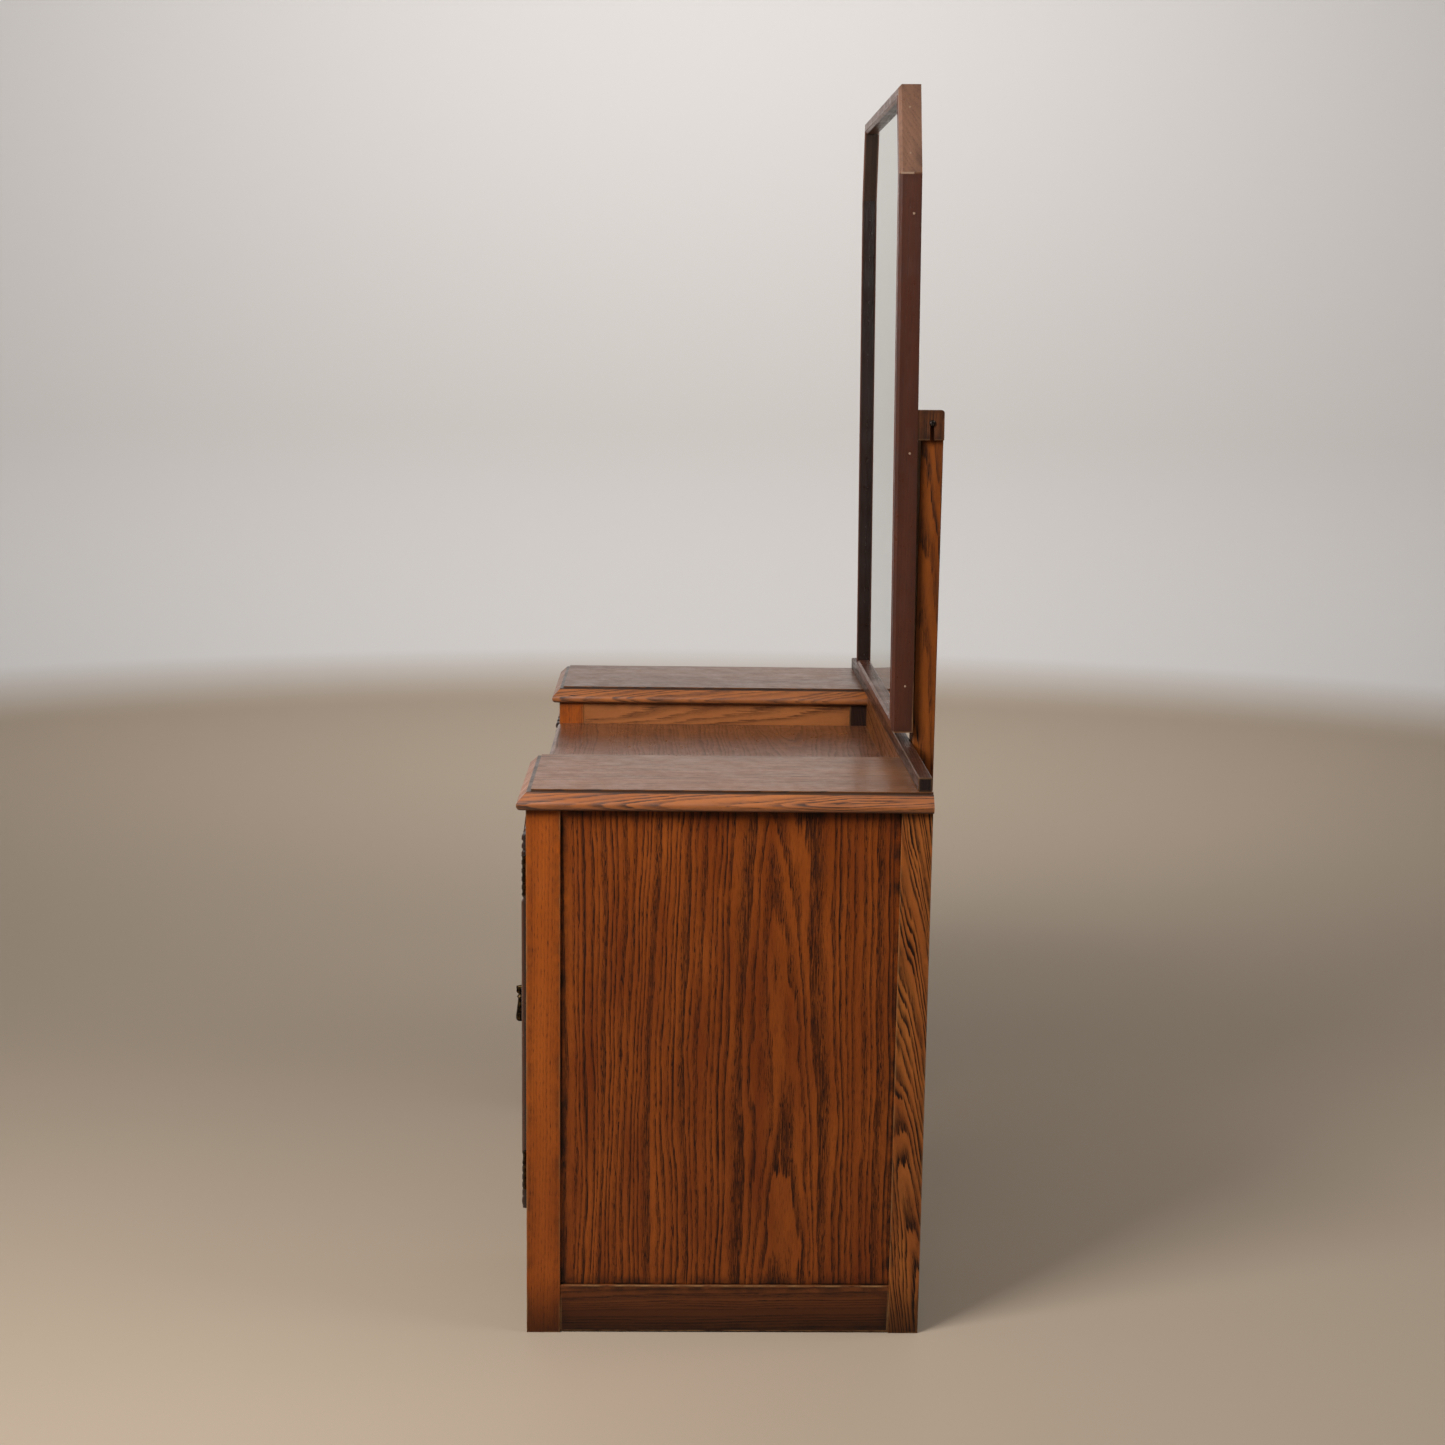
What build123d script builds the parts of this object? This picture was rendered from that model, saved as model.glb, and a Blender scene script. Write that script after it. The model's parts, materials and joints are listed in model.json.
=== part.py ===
from build123d import *
import os
from math import cos, sin, radians, sqrt

# Oak kneehole dressing table: two cupboard pedestals, a lower centre top with a drawer,
# and a tilting mirror with canted top corners on two posts behind the carcass.
# Millimetres. +Z is up, the front faces -Y, +X is the viewer's right.
# The model is drawn with Y = 0 at the leg fronts and is moved at the end so that the
# origin is on the floor under the middle of the bounding box.

# ---------------------------------------------------------------- driving sizes
# Carcass
table_width = 1054.0        # over the moulded ends of the two pedestal tops
carcass_depth = 495.0       # leg fronts to the backs of the rear legs
pedestal_height = 700.0     # floor to the pedestal tops
pedestal_width = 236.0      # one pedestal over its side frames
centre_drop = 58.0          # centre top below the pedestal tops
frame_thickness = 22.0      # side frames, across the table
outer_leg_width = 42.0      # front leg of the outer side frame, front to back
inner_leg_width = 38.0      # front leg of the inner side frame
rear_leg_width = 38.0
rail_height = 63.0          # bottom rails of the side frames
inner_rail_height = 78.0    # top rail of the inner side frame
rail_recess = 1.0           # rails stand back from the leg faces
panel_thickness = 6.0
panel_recess = 5.0
groove_depth = 7.0
groove_slack = 0.5          # between a panel's edge and the bottom of its groove
floor_gap = 1.5             # rails clear the floor, so the legs carry the table
arris = 0.8                 # eased edge of the solid boards
soft_arris = 1.5            # eased edge of the posts and the gallery rail

# Pedestal tops and their moulded edge
top_thickness = 24.5
overhang = 11.0             # nose beyond the carcass at the front and both ends
edge_inset = 17.0           # nose to the flat of the top
quirk_depth = 2.2
quirk_fall = 0.5            # the quirk's floor drops this much towards the slope
nose_radius = 6.8

# Cupboard fittings
plinth_height = 120.0
front_set_back = 1.0        # doors, plinths and the drawer front stand behind the legs
front_thickness = 18.0
board_thickness = 12.0      # floor boards and shelves
shelf_height = 385.0        # underside of the shelf
shelf_set_back = 6.0        # shelf behind the closed door
back_thickness = 6.0        # pedestal back panels
back_inset = 6.0            # back panels stand in from the rear faces
back_below_floor = 31.5     # and reach this far below the cupboard floors
door_gap = 1.5

# Centre
centre_thickness = 16.0
centre_nose = 3.0           # centre top in front of the legs
centre_round = 6.7          # rounding of its front edge
centre_back_thickness = 12.0
drawer_front_height = 78.5
drawer_gap = 1.5
drawer_rear_clearance = 44.0    # closed drawer to the back board
drawer_side_thickness = 10.0
drawer_side_clearance = 2.0
drawer_side_height = 56.0
drawer_bottom_thickness = 4.0
drawer_bottom_rise = 6.0    # drawer bottom above the lower edge of the sides
drawer_groove = 4.0
drawer_back_drop = 4.0      # drawer back below the top of the sides
runner_width = 18.0
runner_height = 14.0
runner_rise = 4.0           # runners above the lower edge of the drawer front
running_gap = 0.4           # between pieces that slide past each other

# Gallery rail and mirror posts
gallery_height = 17.5
gallery_depth = 17.0
gallery_rear_inset = 1.4    # rail stands in from the back of the tops
gallery_end_inset = 1.0     # and from the flat of the tops at each end
post_width = 42.0
post_depth = 29.0
post_above_pivot = 15.5

# Mirror
mirror_width = 557.0
mirror_height = 829.5
cant_width = 30.5
cant_height = 111.0
mirror_depth = 28.7
frame_face = 18.0
rebate_width = 7.0
glass_front = 10.0          # front of the frame to the glass
glass_thickness = 4.0
mirror_back_thickness = 5.0
glass_slack = 0.5
outer_chamfer = 4.0
inner_chamfer = 2.5
mirror_clearance = 14.5     # mirror above the gallery rail
mirror_lean = 0.66          # degrees, top forward
pivot_rise = 404.7          # pivot above the bottom of the mirror
pivot_behind_mirror = 18.5
pivot_behind_carcass = 12.7

# Mirror ears and pivot screws
ear_thickness = 9.0
ear_gap = 0.4               # between an ear and its post
ear_set_in = 0.5            # ear's outer face inside the mirror's side
ear_above_pivot = 16.7
ear_below_pivot = 21.8
ear_behind_pivot = 15.7
ear_corner = 4.0
screw_radius = 2.7
screw_clearance = 0.05
screw_grip = 20.0           # length of shank in the post
screw_head_radius = 4.0
screw_head_height = 2.6
screw_head_round = 1.8      # rounding of the head's rim

# Doors' hinges
hinge_height = 50.0
hinge_from_end = 86.0       # hinge centre from the door's top or bottom
leaf_thickness = 1.0
leaf_gap = 0.4
leaf_depth = 15.0           # back edge of a leaf behind the leg fronts
knuckle_radius = 2.8
knuckle_gap = 0.3
hinge_pin_radius = 1.2
hinge_pin_clearance = 0.05

# Carved panel on each door
carving_margin = 19.5       # between the carving and each side of the door
carving_height = 486.5
carving_thickness = 10.5
carving_ground = 5.0
carving_foot = 26.5         # panel above the bottom of the door
fold_count = 5
fold_width = 20.0
crest_height = 88.0
foot_height = 56.0
scallop_radius = 15.0
scallop_out = 9.0           # scallop centres beyond the ends of the panel

# Drop handles
plate_width = 16.0
plate_height = 48.0
plate_thickness = 2.0
plate_corner = 7.0
pin_reach = 22.0            # handle pin in front of the wood
pin_from_plate_top = 9.5
handle_pin_radius = 1.3
handle_pin_clearance = 0.06
cheek_thickness = 2.2
cheek_radius = 5.2
cheek_from_plate_top = 1.5
eye_width = 4.0
eye_radius = 3.6
eye_gap = 0.35
drop_length = 43.0
drop_radius = 6.0
neck_radius = 1.8
neck_length = 6.7           # pin to where the pear begins
pear_half_width = 3.7       # pear's radius midway down
handle_from_door_edge = 10.0
handle_below_middle = 18.0  # handle plate below the middle of the carving
drawer_handle_x = 150.0
drawer_handle_rise = 6.0    # handle plate above the middle of the drawer front

# ---------------------------------------------------------------- derived places
pedestal_outer = table_width / 2 - overhang
pedestal_inner = pedestal_outer - pedestal_width
bay_inner = pedestal_inner + frame_thickness      # inside of the cupboard, kneehole side
bay_outer = pedestal_outer - frame_thickness      # inside of the cupboard, outer side
carving_width = bay_outer - bay_inner - 2 * (door_gap + carving_margin)
leg_top = pedestal_height - top_thickness
rear_leg_front = carcass_depth - rear_leg_width
front_plane = front_set_back
front_back_plane = front_set_back + front_thickness
back_panel_rear = carcass_depth - back_inset
back_panel_front = back_panel_rear - back_thickness
centre_height = pedestal_height - centre_drop
centre_under = centre_height - centre_thickness
centre_back_front = carcass_depth - centre_back_thickness
drawer_depth = centre_back_front - front_back_plane - drawer_rear_clearance
drawer_top = centre_under - drawer_gap
drawer_low = drawer_top - drawer_front_height
runner_top = drawer_low + runner_rise + runner_height
side_low = runner_top + running_gap
mirror_low = pedestal_height + gallery_height + mirror_clearance
pivot_z = mirror_low + pivot_rise
post_outer_x = mirror_width / 2 - ear_set_in - ear_thickness - ear_gap
pivot_y = carcass_depth + pivot_behind_carcass
mirror_rear = pivot_y - pivot_behind_mirror
mirror_front = mirror_rear - mirror_depth
hinge_x = bay_outer - door_gap / 2
hinge_y = -(knuckle_radius + knuckle_gap)
door_low = plinth_height + door_gap
door_high = leg_top - door_gap
hinge_heights = (door_low + hinge_from_end, door_high - hinge_from_end)
front_reach = pin_reach + drop_radius - front_set_back
rear_reach = carcass_depth + post_depth
origin_y = (rear_reach - front_reach) / 2

parts = {}


# ---------------------------------------------------------------- helpers
def block(x, y, z):
    """A square-edged piece between its limits (low, high) along each axis."""
    middle = [(low + high) / 2 for low, high in (x, y, z)]
    size = [high - low for low, high in (x, y, z)]
    return Pos(*middle) * Box(*size)


def board(x, y, z, ease=arris):
    """A solid board with all its arrises eased."""
    return fillet(block(x, y, z).edges(), ease)


def on_side(shape, side):
    """The shape as drawn for the right-hand side, or its mirror image for the left."""
    return shape if side == "right" else mirror(shape, about=Plane.YZ)


def pair(shape):
    """The right-hand shape with its mirror image, as two separate solids."""
    return Compound([*shape.solids(), *mirror(shape, about=Plane.YZ).solids()])


def rod(radius, length, axis, middle):
    """A round bar along X, Y or Z, centred on a point."""
    turns = {"X": Rot(0, 90, 0), "Y": Rot(90, 0, 0), "Z": Rot(0, 0, 0)}
    return Pos(*middle) * turns[axis] * Cylinder(radius, length)


# ---------------------------------------------------------------- side frames
def side_frame(side, outer):
    """Front leg, rear leg, rails and recessed panel of one side frame."""
    place = "outer" if outer else "inner"
    face = pedestal_outer if outer else pedestal_inner
    inward = -1 if outer else 1
    leg_width = outer_leg_width if outer else inner_leg_width

    def across(depth_from, depth_to):
        return tuple(sorted((face + inward * depth_from, face + inward * depth_to)))

    leg_x = across(0, frame_thickness)
    rail_x = across(rail_recess, frame_thickness)
    panel_x = across(panel_recess, panel_recess + panel_thickness)
    panel_top = leg_top if outer else leg_top - inner_rail_height
    groove_z = (rail_height - groove_depth, leg_top + 1 if outer else panel_top + groove_depth)
    groove = block(panel_x, (leg_width - groove_depth, rear_leg_front + groove_depth), groove_z)

    front_leg = board(leg_x, (0, leg_width), (0, leg_top)) - groove
    rear_leg = board(leg_x, (rear_leg_front, carcass_depth), (0, leg_top)) - groove
    if outer:
        for height in hinge_heights:
            front_leg -= hinge_recess(height)
    rail_y = (leg_width, rear_leg_front)
    bottom_rail = board(rail_x, rail_y, (floor_gap, rail_height)) - groove
    panel_y = (leg_width - groove_depth + groove_slack, rear_leg_front + groove_depth - groove_slack)
    panel_high = leg_top if outer else panel_top + groove_depth - groove_slack
    panel = block(panel_x, panel_y, (rail_height - groove_depth + groove_slack, panel_high))

    parts[f"{place}_front_leg_{side}"] = on_side(front_leg, side)
    parts[f"{place}_rear_leg_{side}"] = on_side(rear_leg, side)
    parts[f"{place}_bottom_rail_{side}"] = on_side(bottom_rail, side)
    parts[f"{place}_panel_{side}"] = on_side(panel, side)
    if not outer:
        top_rail = board(rail_x, rail_y, (panel_top, leg_top)) - groove
        parts[f"inner_top_rail_{side}"] = on_side(top_rail, side)


def hinge_recess(height):
    """Shallow housing for one leaf pair: it reaches into the leg and into the door edge."""
    reach = leaf_gap / 2 + leaf_thickness
    z = (height - hinge_height / 2, height + hinge_height / 2)
    return block((hinge_x - reach, hinge_x + reach), (0, leaf_depth), z)


# ---------------------------------------------------------------- pedestal tops
def edge_cutter(length):
    """What a moulding plane takes off one edge: X is outwards from the flat, along Y."""
    slope = sqrt(0.5)
    centre = (edge_inset - nose_radius, nose_radius - top_thickness)
    slope_end = (centre[0] + nose_radius * slope, centre[1] + nose_radius * slope)
    slope_start_z = -(quirk_depth + quirk_fall)
    slope_start = (slope_end[0] - (slope_start_z - slope_end[1]), slope_start_z)
    nose = (edge_inset, centre[1])
    under = (centre[0], -top_thickness)
    clear = 2.0
    outline = Polyline((0, clear), (0, -quirk_depth), slope_start, slope_end)
    outline += ThreePointArc(slope_end, nose, under)
    outline += Polyline(under, (under[0], under[1] - clear), (edge_inset + clear, under[1] - clear),
                        (edge_inset + clear, clear), (0, clear))
    return extrude(make_face(Plane.XZ * outline), length / 2, both=True)


def pedestal_top(side):
    """Top board, moulded along the front and both ends and square at the back."""
    ends = (pedestal_inner - overhang, pedestal_outer + overhang)
    top = block(ends, (-overhang, carcass_depth), (leg_top, pedestal_height))
    long_cut = 2 * (carcass_depth + table_width)
    front_cut = Rot(0, 0, -90) * edge_cutter(long_cut)
    end_cut = edge_cutter(long_cut)
    top -= Pos(0, edge_inset - overhang, pedestal_height) * front_cut
    top -= Pos(ends[1] - edge_inset, 0, pedestal_height) * end_cut
    top -= Pos(ends[0] + edge_inset, 0, pedestal_height) * Rot(0, 0, 180) * end_cut
    parts[f"pedestal_top_{side}"] = on_side(top, side)


# ---------------------------------------------------------------- cupboard boards
def cupboard(side):
    """Plinth rail that closes the pedestal below the door."""
    plinth = board((bay_inner, bay_outer), (front_plane, front_back_plane), (floor_gap, plinth_height))
    parts[f"plinth_rail_{side}"] = on_side(plinth, side)


def cupboard_boards():
    """Floor boards, shelves and backs, each a pair of equal boards, one in each pedestal."""
    bay = (bay_inner, bay_outer)
    floor_z = (plinth_height - board_thickness, plinth_height)
    shelf_y = (front_back_plane + shelf_set_back, back_panel_front)
    shelf_z = (shelf_height, shelf_height + board_thickness)
    back_z = (floor_z[0] - back_below_floor, leg_top)
    parts["floor_boards"] = pair(block(bay, (front_back_plane, back_panel_front), floor_z))
    parts["shelves"] = pair(board(bay, shelf_y, shelf_z))
    parts["back_panels"] = pair(block(bay, (back_panel_front, back_panel_rear), back_z))


# ---------------------------------------------------------------- doors
def hinge_knuckles(height, middle):
    """The barrels of one hinge: the middle one, or the two end ones with the pin."""
    third = hinge_height / 3
    if middle:
        barrel = rod(knuckle_radius, third - 2 * knuckle_gap, "Z", (hinge_x, hinge_y, height))
        return barrel - rod(hinge_pin_radius + hinge_pin_clearance, third, "Z", (hinge_x, hinge_y, height))
    shape = rod(hinge_pin_radius, hinge_height, "Z", (hinge_x, hinge_y, height))
    for end in (-1, 1):
        shape += rod(knuckle_radius, third, "Z", (hinge_x, hinge_y, height + end * third))
    return shape


def hinge_leaf(height, on_door):
    """One leaf with its knuckles."""
    toward = -1 if on_door else 1
    third = hinge_height / 3
    leaf_x = tuple(sorted((hinge_x + toward * leaf_gap / 2,
                           hinge_x + toward * (leaf_gap / 2 + leaf_thickness))))
    z = (height - hinge_height / 2, height + hinge_height / 2)
    shape = block(leaf_x, (0, leaf_depth), z)
    strap_y = (hinge_y + (knuckle_radius + hinge_pin_radius) / 2, leaf_thickness)
    if on_door:
        straps = [(height - third / 2 + knuckle_gap, height + third / 2 - knuckle_gap)]
    else:
        straps = [(z[0], z[0] + third), (z[1] - third, z[1])]
    for strap_z in straps:
        shape += block(leaf_x, strap_y, strap_z)
    return shape + hinge_knuckles(height, on_door)


def door(side):
    """Door board, its hinge leaves, the carved panel and the drop handle."""
    door_x = (bay_inner + door_gap, bay_outer - door_gap)
    slab = board(door_x, (front_plane, front_back_plane), (door_low, door_high))
    for height in hinge_heights:
        slab -= hinge_recess(height)
    parts[f"door_{side}"] = on_side(slab, side)
    leaves = [hinge_leaf(height, True) for height in hinge_heights]
    both_leaves = Compound([solid for leaf in leaves for solid in leaf.solids()])
    parts[f"door_hinge_leaves_{side}"] = on_side(both_leaves, side)
    middle = sum(door_x) / 2
    panel = Pos(middle, front_plane, door_low + carving_foot) * carved_panel()
    parts[f"carved_panel_{side}"] = on_side(panel, side)
    handle_x = door_x[0] + handle_from_door_edge
    handle_z = door_low + carving_foot + carving_height / 2 - handle_below_middle
    plate, drop = drop_handle(handle_x, front_plane, handle_z)
    parts[f"handle_plate_{side}"] = on_side(plate, side)
    parts[f"handle_drop_{side}"] = on_side(drop, side)


def carved_panel():
    """Applied panel of upright folds between a carved crest and a carved foot."""
    half = carving_width / 2
    ground = block((-half, half), (-carving_ground, 0), (0, carving_height))
    pitch = (carving_width - fold_width) / (fold_count - 1)
    folds = [(-half + fold_width / 2 + pitch * index) for index in range(fold_count)]
    rise = carving_thickness - carving_ground
    bulge = (fold_width ** 2 / 4 + rise ** 2) / (2 * rise)
    panel = ground
    for x in folds:
        roll = rod(bulge, carving_height, "Z", (x, bulge - carving_thickness, carving_height / 2))
        panel += roll & block((-half, half), (-carving_thickness, 0), (0, carving_height))
    field = (-half, half)
    crest_z = (carving_height - crest_height, carving_height)
    panel += block(field, (-carving_thickness, 0), crest_z)
    panel += block(field, (-carving_thickness, 0), (0, foot_height))
    for x in folds[:-1]:
        for z in (-scallop_out, carving_height + scallop_out):
            centre = (x + pitch / 2, -carving_thickness / 2, z)
            panel -= rod(scallop_radius, 2 * carving_thickness, "Y", centre)
    return panel


def drop_handle(x, face, middle_z):
    """Backplate with two cheeks and a pin, and the pear drop that hangs from the pin."""
    top_z = middle_z + plate_height / 2
    pin = (x, face - pin_reach, top_z - pin_from_plate_top)
    outline = RectangleRounded(plate_width, plate_height, plate_corner)
    plate = extrude(Pos(x, face, middle_z) * Rot(90, 0, 0) * outline, plate_thickness)
    cheek_low = eye_width / 2 + eye_gap
    for direction in (-1, 1):
        cheek_x = x + direction * (cheek_low + cheek_thickness / 2)
        arm = make_hull(Circle(cheek_radius).edges() + cheek_root().edges())
        cheek = extrude(Plane.YZ * arm, cheek_thickness / 2, both=True)
        plate += Pos(cheek_x, pin[1], pin[2]) * cheek
    plate += rod(handle_pin_radius, 2 * (cheek_low + cheek_thickness), "X", pin)
    return plate, Pos(*pin) * pear_drop()


def cheek_root():
    """The upright line where a cheek meets the backplate, seen from the pin."""
    root = pin_reach - plate_thickness / 2
    return Line((root, pin_from_plate_top - cheek_from_plate_top), (root, -cheek_radius))


def pear_drop():
    """The drop about its pin: an eye, a thin neck and a pear that widens to the bottom."""
    start = -(eye_radius - 1)
    shoulder = -neck_length
    belly = -(drop_length - drop_radius)
    neck = Polyline((0, start), (neck_radius, start), (neck_radius, shoulder))
    flank = Spline((neck_radius, shoulder), (pear_half_width, (shoulder + belly) / 2),
                   (drop_radius, belly), tangents=((0, -1), (0, -1)))
    tip = ThreePointArc((drop_radius, belly),
                        (drop_radius * cos(radians(45)), belly - drop_radius * sin(radians(45))),
                        (0, -drop_length))
    section = make_face(Plane.XZ * (neck + flank + tip + Line((0, -drop_length), (0, start))))
    drop = revolve(section, Axis.Z)
    drop += rod(eye_radius, eye_width, "X", (0, 0, 0))
    return drop - rod(handle_pin_radius + handle_pin_clearance, 2 * eye_width, "X", (0, 0, 0))


# ---------------------------------------------------------------- centre section
def centre_section():
    """Centre top, the back board that carries the posts, and the drawer runners."""
    span = (-pedestal_inner, pedestal_inner)
    top = block(span, (-centre_nose, centre_back_front), (centre_under, centre_height))
    front = top.edges().filter_by(Axis.X).sort_by(Axis.Y)[:2]
    parts["centre_top"] = fillet(front, min(centre_round, 0.45 * centre_thickness))
    back = block(span, (centre_back_front, carcass_depth), (drawer_low, leg_top))
    narrow = pedestal_inner - overhang
    back += block((-narrow, narrow), (centre_back_front, carcass_depth), (leg_top, pedestal_height))
    parts["centre_back"] = back
    runner = board((pedestal_inner - runner_width, pedestal_inner),
                   (front_back_plane + running_gap, centre_back_front),
                   (runner_top - runner_height, runner_top))
    parts["drawer_runners"] = pair(runner)
    rail_half = pedestal_outer + overhang - edge_inset - gallery_end_inset
    rear = carcass_depth - gallery_rear_inset
    rail = board((-rail_half, rail_half), (rear - gallery_depth, rear),
                 (pedestal_height, pedestal_height + gallery_height), soft_arris)
    parts["gallery_rail"] = rail


def drawer():
    """Front, two sides, back and bottom, with two drop handles."""
    half = pedestal_inner - drawer_gap
    side_outer = pedestal_inner - drawer_side_clearance
    side_inner = side_outer - drawer_side_thickness
    bottom_z = (side_low + drawer_bottom_rise, side_low + drawer_bottom_rise + drawer_bottom_thickness)
    bottom = block((-side_inner - drawer_groove, side_inner + drawer_groove),
                   (front_back_plane - drawer_groove, front_back_plane + drawer_depth), bottom_z)
    front = board((-half, half), (front_plane, front_back_plane), (drawer_low, drawer_top))
    parts["drawer_front"] = front - bottom
    side_y = (front_back_plane, front_back_plane + drawer_depth)
    side = board((side_inner, side_outer), side_y, (side_low, side_low + drawer_side_height)) - bottom
    parts["drawer_sides"] = pair(side)
    parts["drawer_back"] = block((-side_inner, side_inner), (side_y[1] - drawer_side_thickness, side_y[1]),
                                 (bottom_z[1], side_low + drawer_side_height - drawer_back_drop))
    parts["drawer_bottom"] = bottom
    handle_z = (drawer_low + drawer_top) / 2 + drawer_handle_rise
    plate, drop = drop_handle(drawer_handle_x, front_plane, handle_z)
    parts["drawer_handle_plates"] = pair(plate)
    for side_name in ("right", "left"):
        parts[f"drawer_drop_{side_name}"] = on_side(drop, side_name)


# ---------------------------------------------------------------- posts and pivot screws
def posts():
    """Upright posts on the back of the carcass, each bored for its pivot screw."""
    shank_x = (post_outer_x - screw_grip, post_outer_x + 2 * ear_gap + ear_thickness)
    shank = rod(screw_radius, shank_x[1] - shank_x[0], "X", (sum(shank_x) / 2, pivot_y, pivot_z))
    post = board((post_outer_x - post_width, post_outer_x), (carcass_depth, rear_reach),
                 (drawer_low, pivot_z + post_above_pivot), soft_arris)
    for side in ("right", "left"):
        parts[f"mirror_post_{side}"] = on_side(post - shank, side)
    head = rod(screw_head_radius, screw_head_height, "X",
               (shank_x[1] + screw_head_height / 2, pivot_y, pivot_z))
    rim = head.edges().sort_by(Axis.X)[-1]
    parts["pivot_screws"] = pair(shank + fillet(rim, screw_head_round))


# ---------------------------------------------------------------- mirror
def inset(points, distance):
    """The corners of a closed outline moved inwards by a distance."""
    moved = []
    count = len(points)
    for index in range(count):
        before, here, after = (Vector(*points[(index + step) % count]) for step in (-1, 0, 1))
        arriving = (here - before).normalized()
        leaving = (after - here).normalized()
        bend = (1 + arriving.dot(leaving))
        left = Vector(-arriving.Y - leaving.Y, arriving.X + leaving.X)
        moved.append((here.X + left.X * distance / bend, here.Y + left.Y * distance / bend))
    return moved


def upright_plate(points, front, rear):
    """An outline in the XZ plane, from one depth to another."""
    face = make_face(Plane.XZ * Polyline(*points, close=True))
    return Pos(0, rear, 0) * extrude(face, rear - front)


def hang(shape):
    """Turn an upright piece of the mirror to its resting lean about the pivot."""
    return Pos(0, pivot_y, pivot_z) * Rot(mirror_lean, 0, 0) * Pos(0, -pivot_y, -pivot_z) * shape


def mirror_frame():
    """Six mitred frame pieces, the glass, the backboard and the two ears."""
    half = mirror_width / 2
    high = mirror_low + mirror_height
    outline = [(-half, mirror_low), (half, mirror_low), (half, high - cant_height),
               (half - cant_width, high), (cant_width - half, high), (-half, high - cant_height)]
    names = ["bottom_rail", "stile_right", "cant_right", "top_rail", "cant_left", "stile_left"]
    sight = inset(outline, frame_face)
    rebate = inset(outline, frame_face - rebate_width)
    glass_y = mirror_front + glass_front
    for index, name in enumerate(names):
        after = (index + 1) % len(names)
        ends = [outline[index], outline[after]]
        piece = upright_plate(ends + [sight[after], sight[index]], mirror_front, glass_y)
        piece += upright_plate(ends + [rebate[after], rebate[index]], glass_y, mirror_rear)
        for line, width in ((ends, outer_chamfer), ((sight[index], sight[after]), inner_chamfer)):
            middle = [(a + b) / 2 for a, b in zip(*line)]
            edge = piece.edges().sort_by_distance((middle[0], mirror_front, middle[1]))[0]
            piece = chamfer(edge, width)
        parts[f"mirror_{name}"] = hang(piece)
    glass = inset(outline, frame_face - rebate_width + glass_slack)
    glass_rear = glass_y + glass_thickness
    parts["mirror_glass"] = hang(upright_plate(glass, glass_y, glass_rear))
    parts["mirror_backboard"] = hang(upright_plate(glass, glass_rear, glass_rear + mirror_back_thickness))
    ear_x = (post_outer_x + ear_gap, post_outer_x + ear_gap + ear_thickness)
    ear = block(ear_x, (mirror_rear, pivot_y + ear_behind_pivot),
                (pivot_z - ear_below_pivot, pivot_z + ear_above_pivot))
    corner = ear.edges().filter_by(Axis.X).sort_by(Axis.Y)[-2:].sort_by(Axis.Z)[-1]
    ear = fillet(corner, ear_corner)
    slot = screw_radius + screw_clearance
    ear -= rod(slot, 3 * ear_thickness, "X", (sum(ear_x) / 2, pivot_y, pivot_z))
    ear -= block((ear_x[0] - 1, ear_x[1] + 1), (pivot_y - slot, pivot_y + slot),
                 (pivot_z - ear_below_pivot - 1, pivot_z))
    parts["mirror_ears"] = pair(hang(ear))


# ---------------------------------------------------------------- the whole table
for name in ("right", "left"):
    side_frame(name, outer=True)
    side_frame(name, outer=False)
    pedestal_top(name)
    cupboard(name)
    door(name)
leg_leaves = [hinge_leaf(height, False) for height in hinge_heights]
parts["leg_hinge_leaves"] = pair(Compound([solid for leaf in leg_leaves for solid in leaf.solids()]))
cupboard_boards()
centre_section()
drawer()
posts()
mirror_frame()

os.makedirs("parts", exist_ok=True)
for name, shape in parts.items():
    solids = [Pos(0, -origin_y, 0) * solid for solid in shape.solids()]
    export_step(solids[0] if len(solids) == 1 else Compound(solids), f"parts/{name}.step")
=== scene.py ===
import json
import math

import bmesh
import bpy
from mathutils import Matrix, Vector


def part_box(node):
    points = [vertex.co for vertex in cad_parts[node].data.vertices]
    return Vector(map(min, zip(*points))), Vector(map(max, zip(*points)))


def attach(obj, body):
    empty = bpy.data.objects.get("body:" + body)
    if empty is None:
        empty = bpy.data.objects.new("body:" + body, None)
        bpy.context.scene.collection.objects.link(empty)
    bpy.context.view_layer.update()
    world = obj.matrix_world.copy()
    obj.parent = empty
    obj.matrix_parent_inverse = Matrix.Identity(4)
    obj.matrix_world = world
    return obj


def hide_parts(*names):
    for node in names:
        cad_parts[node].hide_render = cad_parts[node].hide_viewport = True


# Oak kneehole dressing table: two cupboard pedestals, a lower centre top over a drawer, and a
# tilting mirror with canted top corners on two posts. Metres, in the frame of the CAD model.
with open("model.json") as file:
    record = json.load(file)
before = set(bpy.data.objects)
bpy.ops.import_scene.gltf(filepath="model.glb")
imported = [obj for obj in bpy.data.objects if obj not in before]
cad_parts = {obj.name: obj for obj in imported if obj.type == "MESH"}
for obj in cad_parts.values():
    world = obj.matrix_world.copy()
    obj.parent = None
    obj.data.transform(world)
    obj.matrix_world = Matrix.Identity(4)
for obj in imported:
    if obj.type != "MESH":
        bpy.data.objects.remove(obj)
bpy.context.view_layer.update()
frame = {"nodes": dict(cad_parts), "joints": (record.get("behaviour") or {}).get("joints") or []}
joints = {joint["name"]: joint for joint in frame["joints"]}
SIDES = (("right", 1), ("left", -1))


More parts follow.
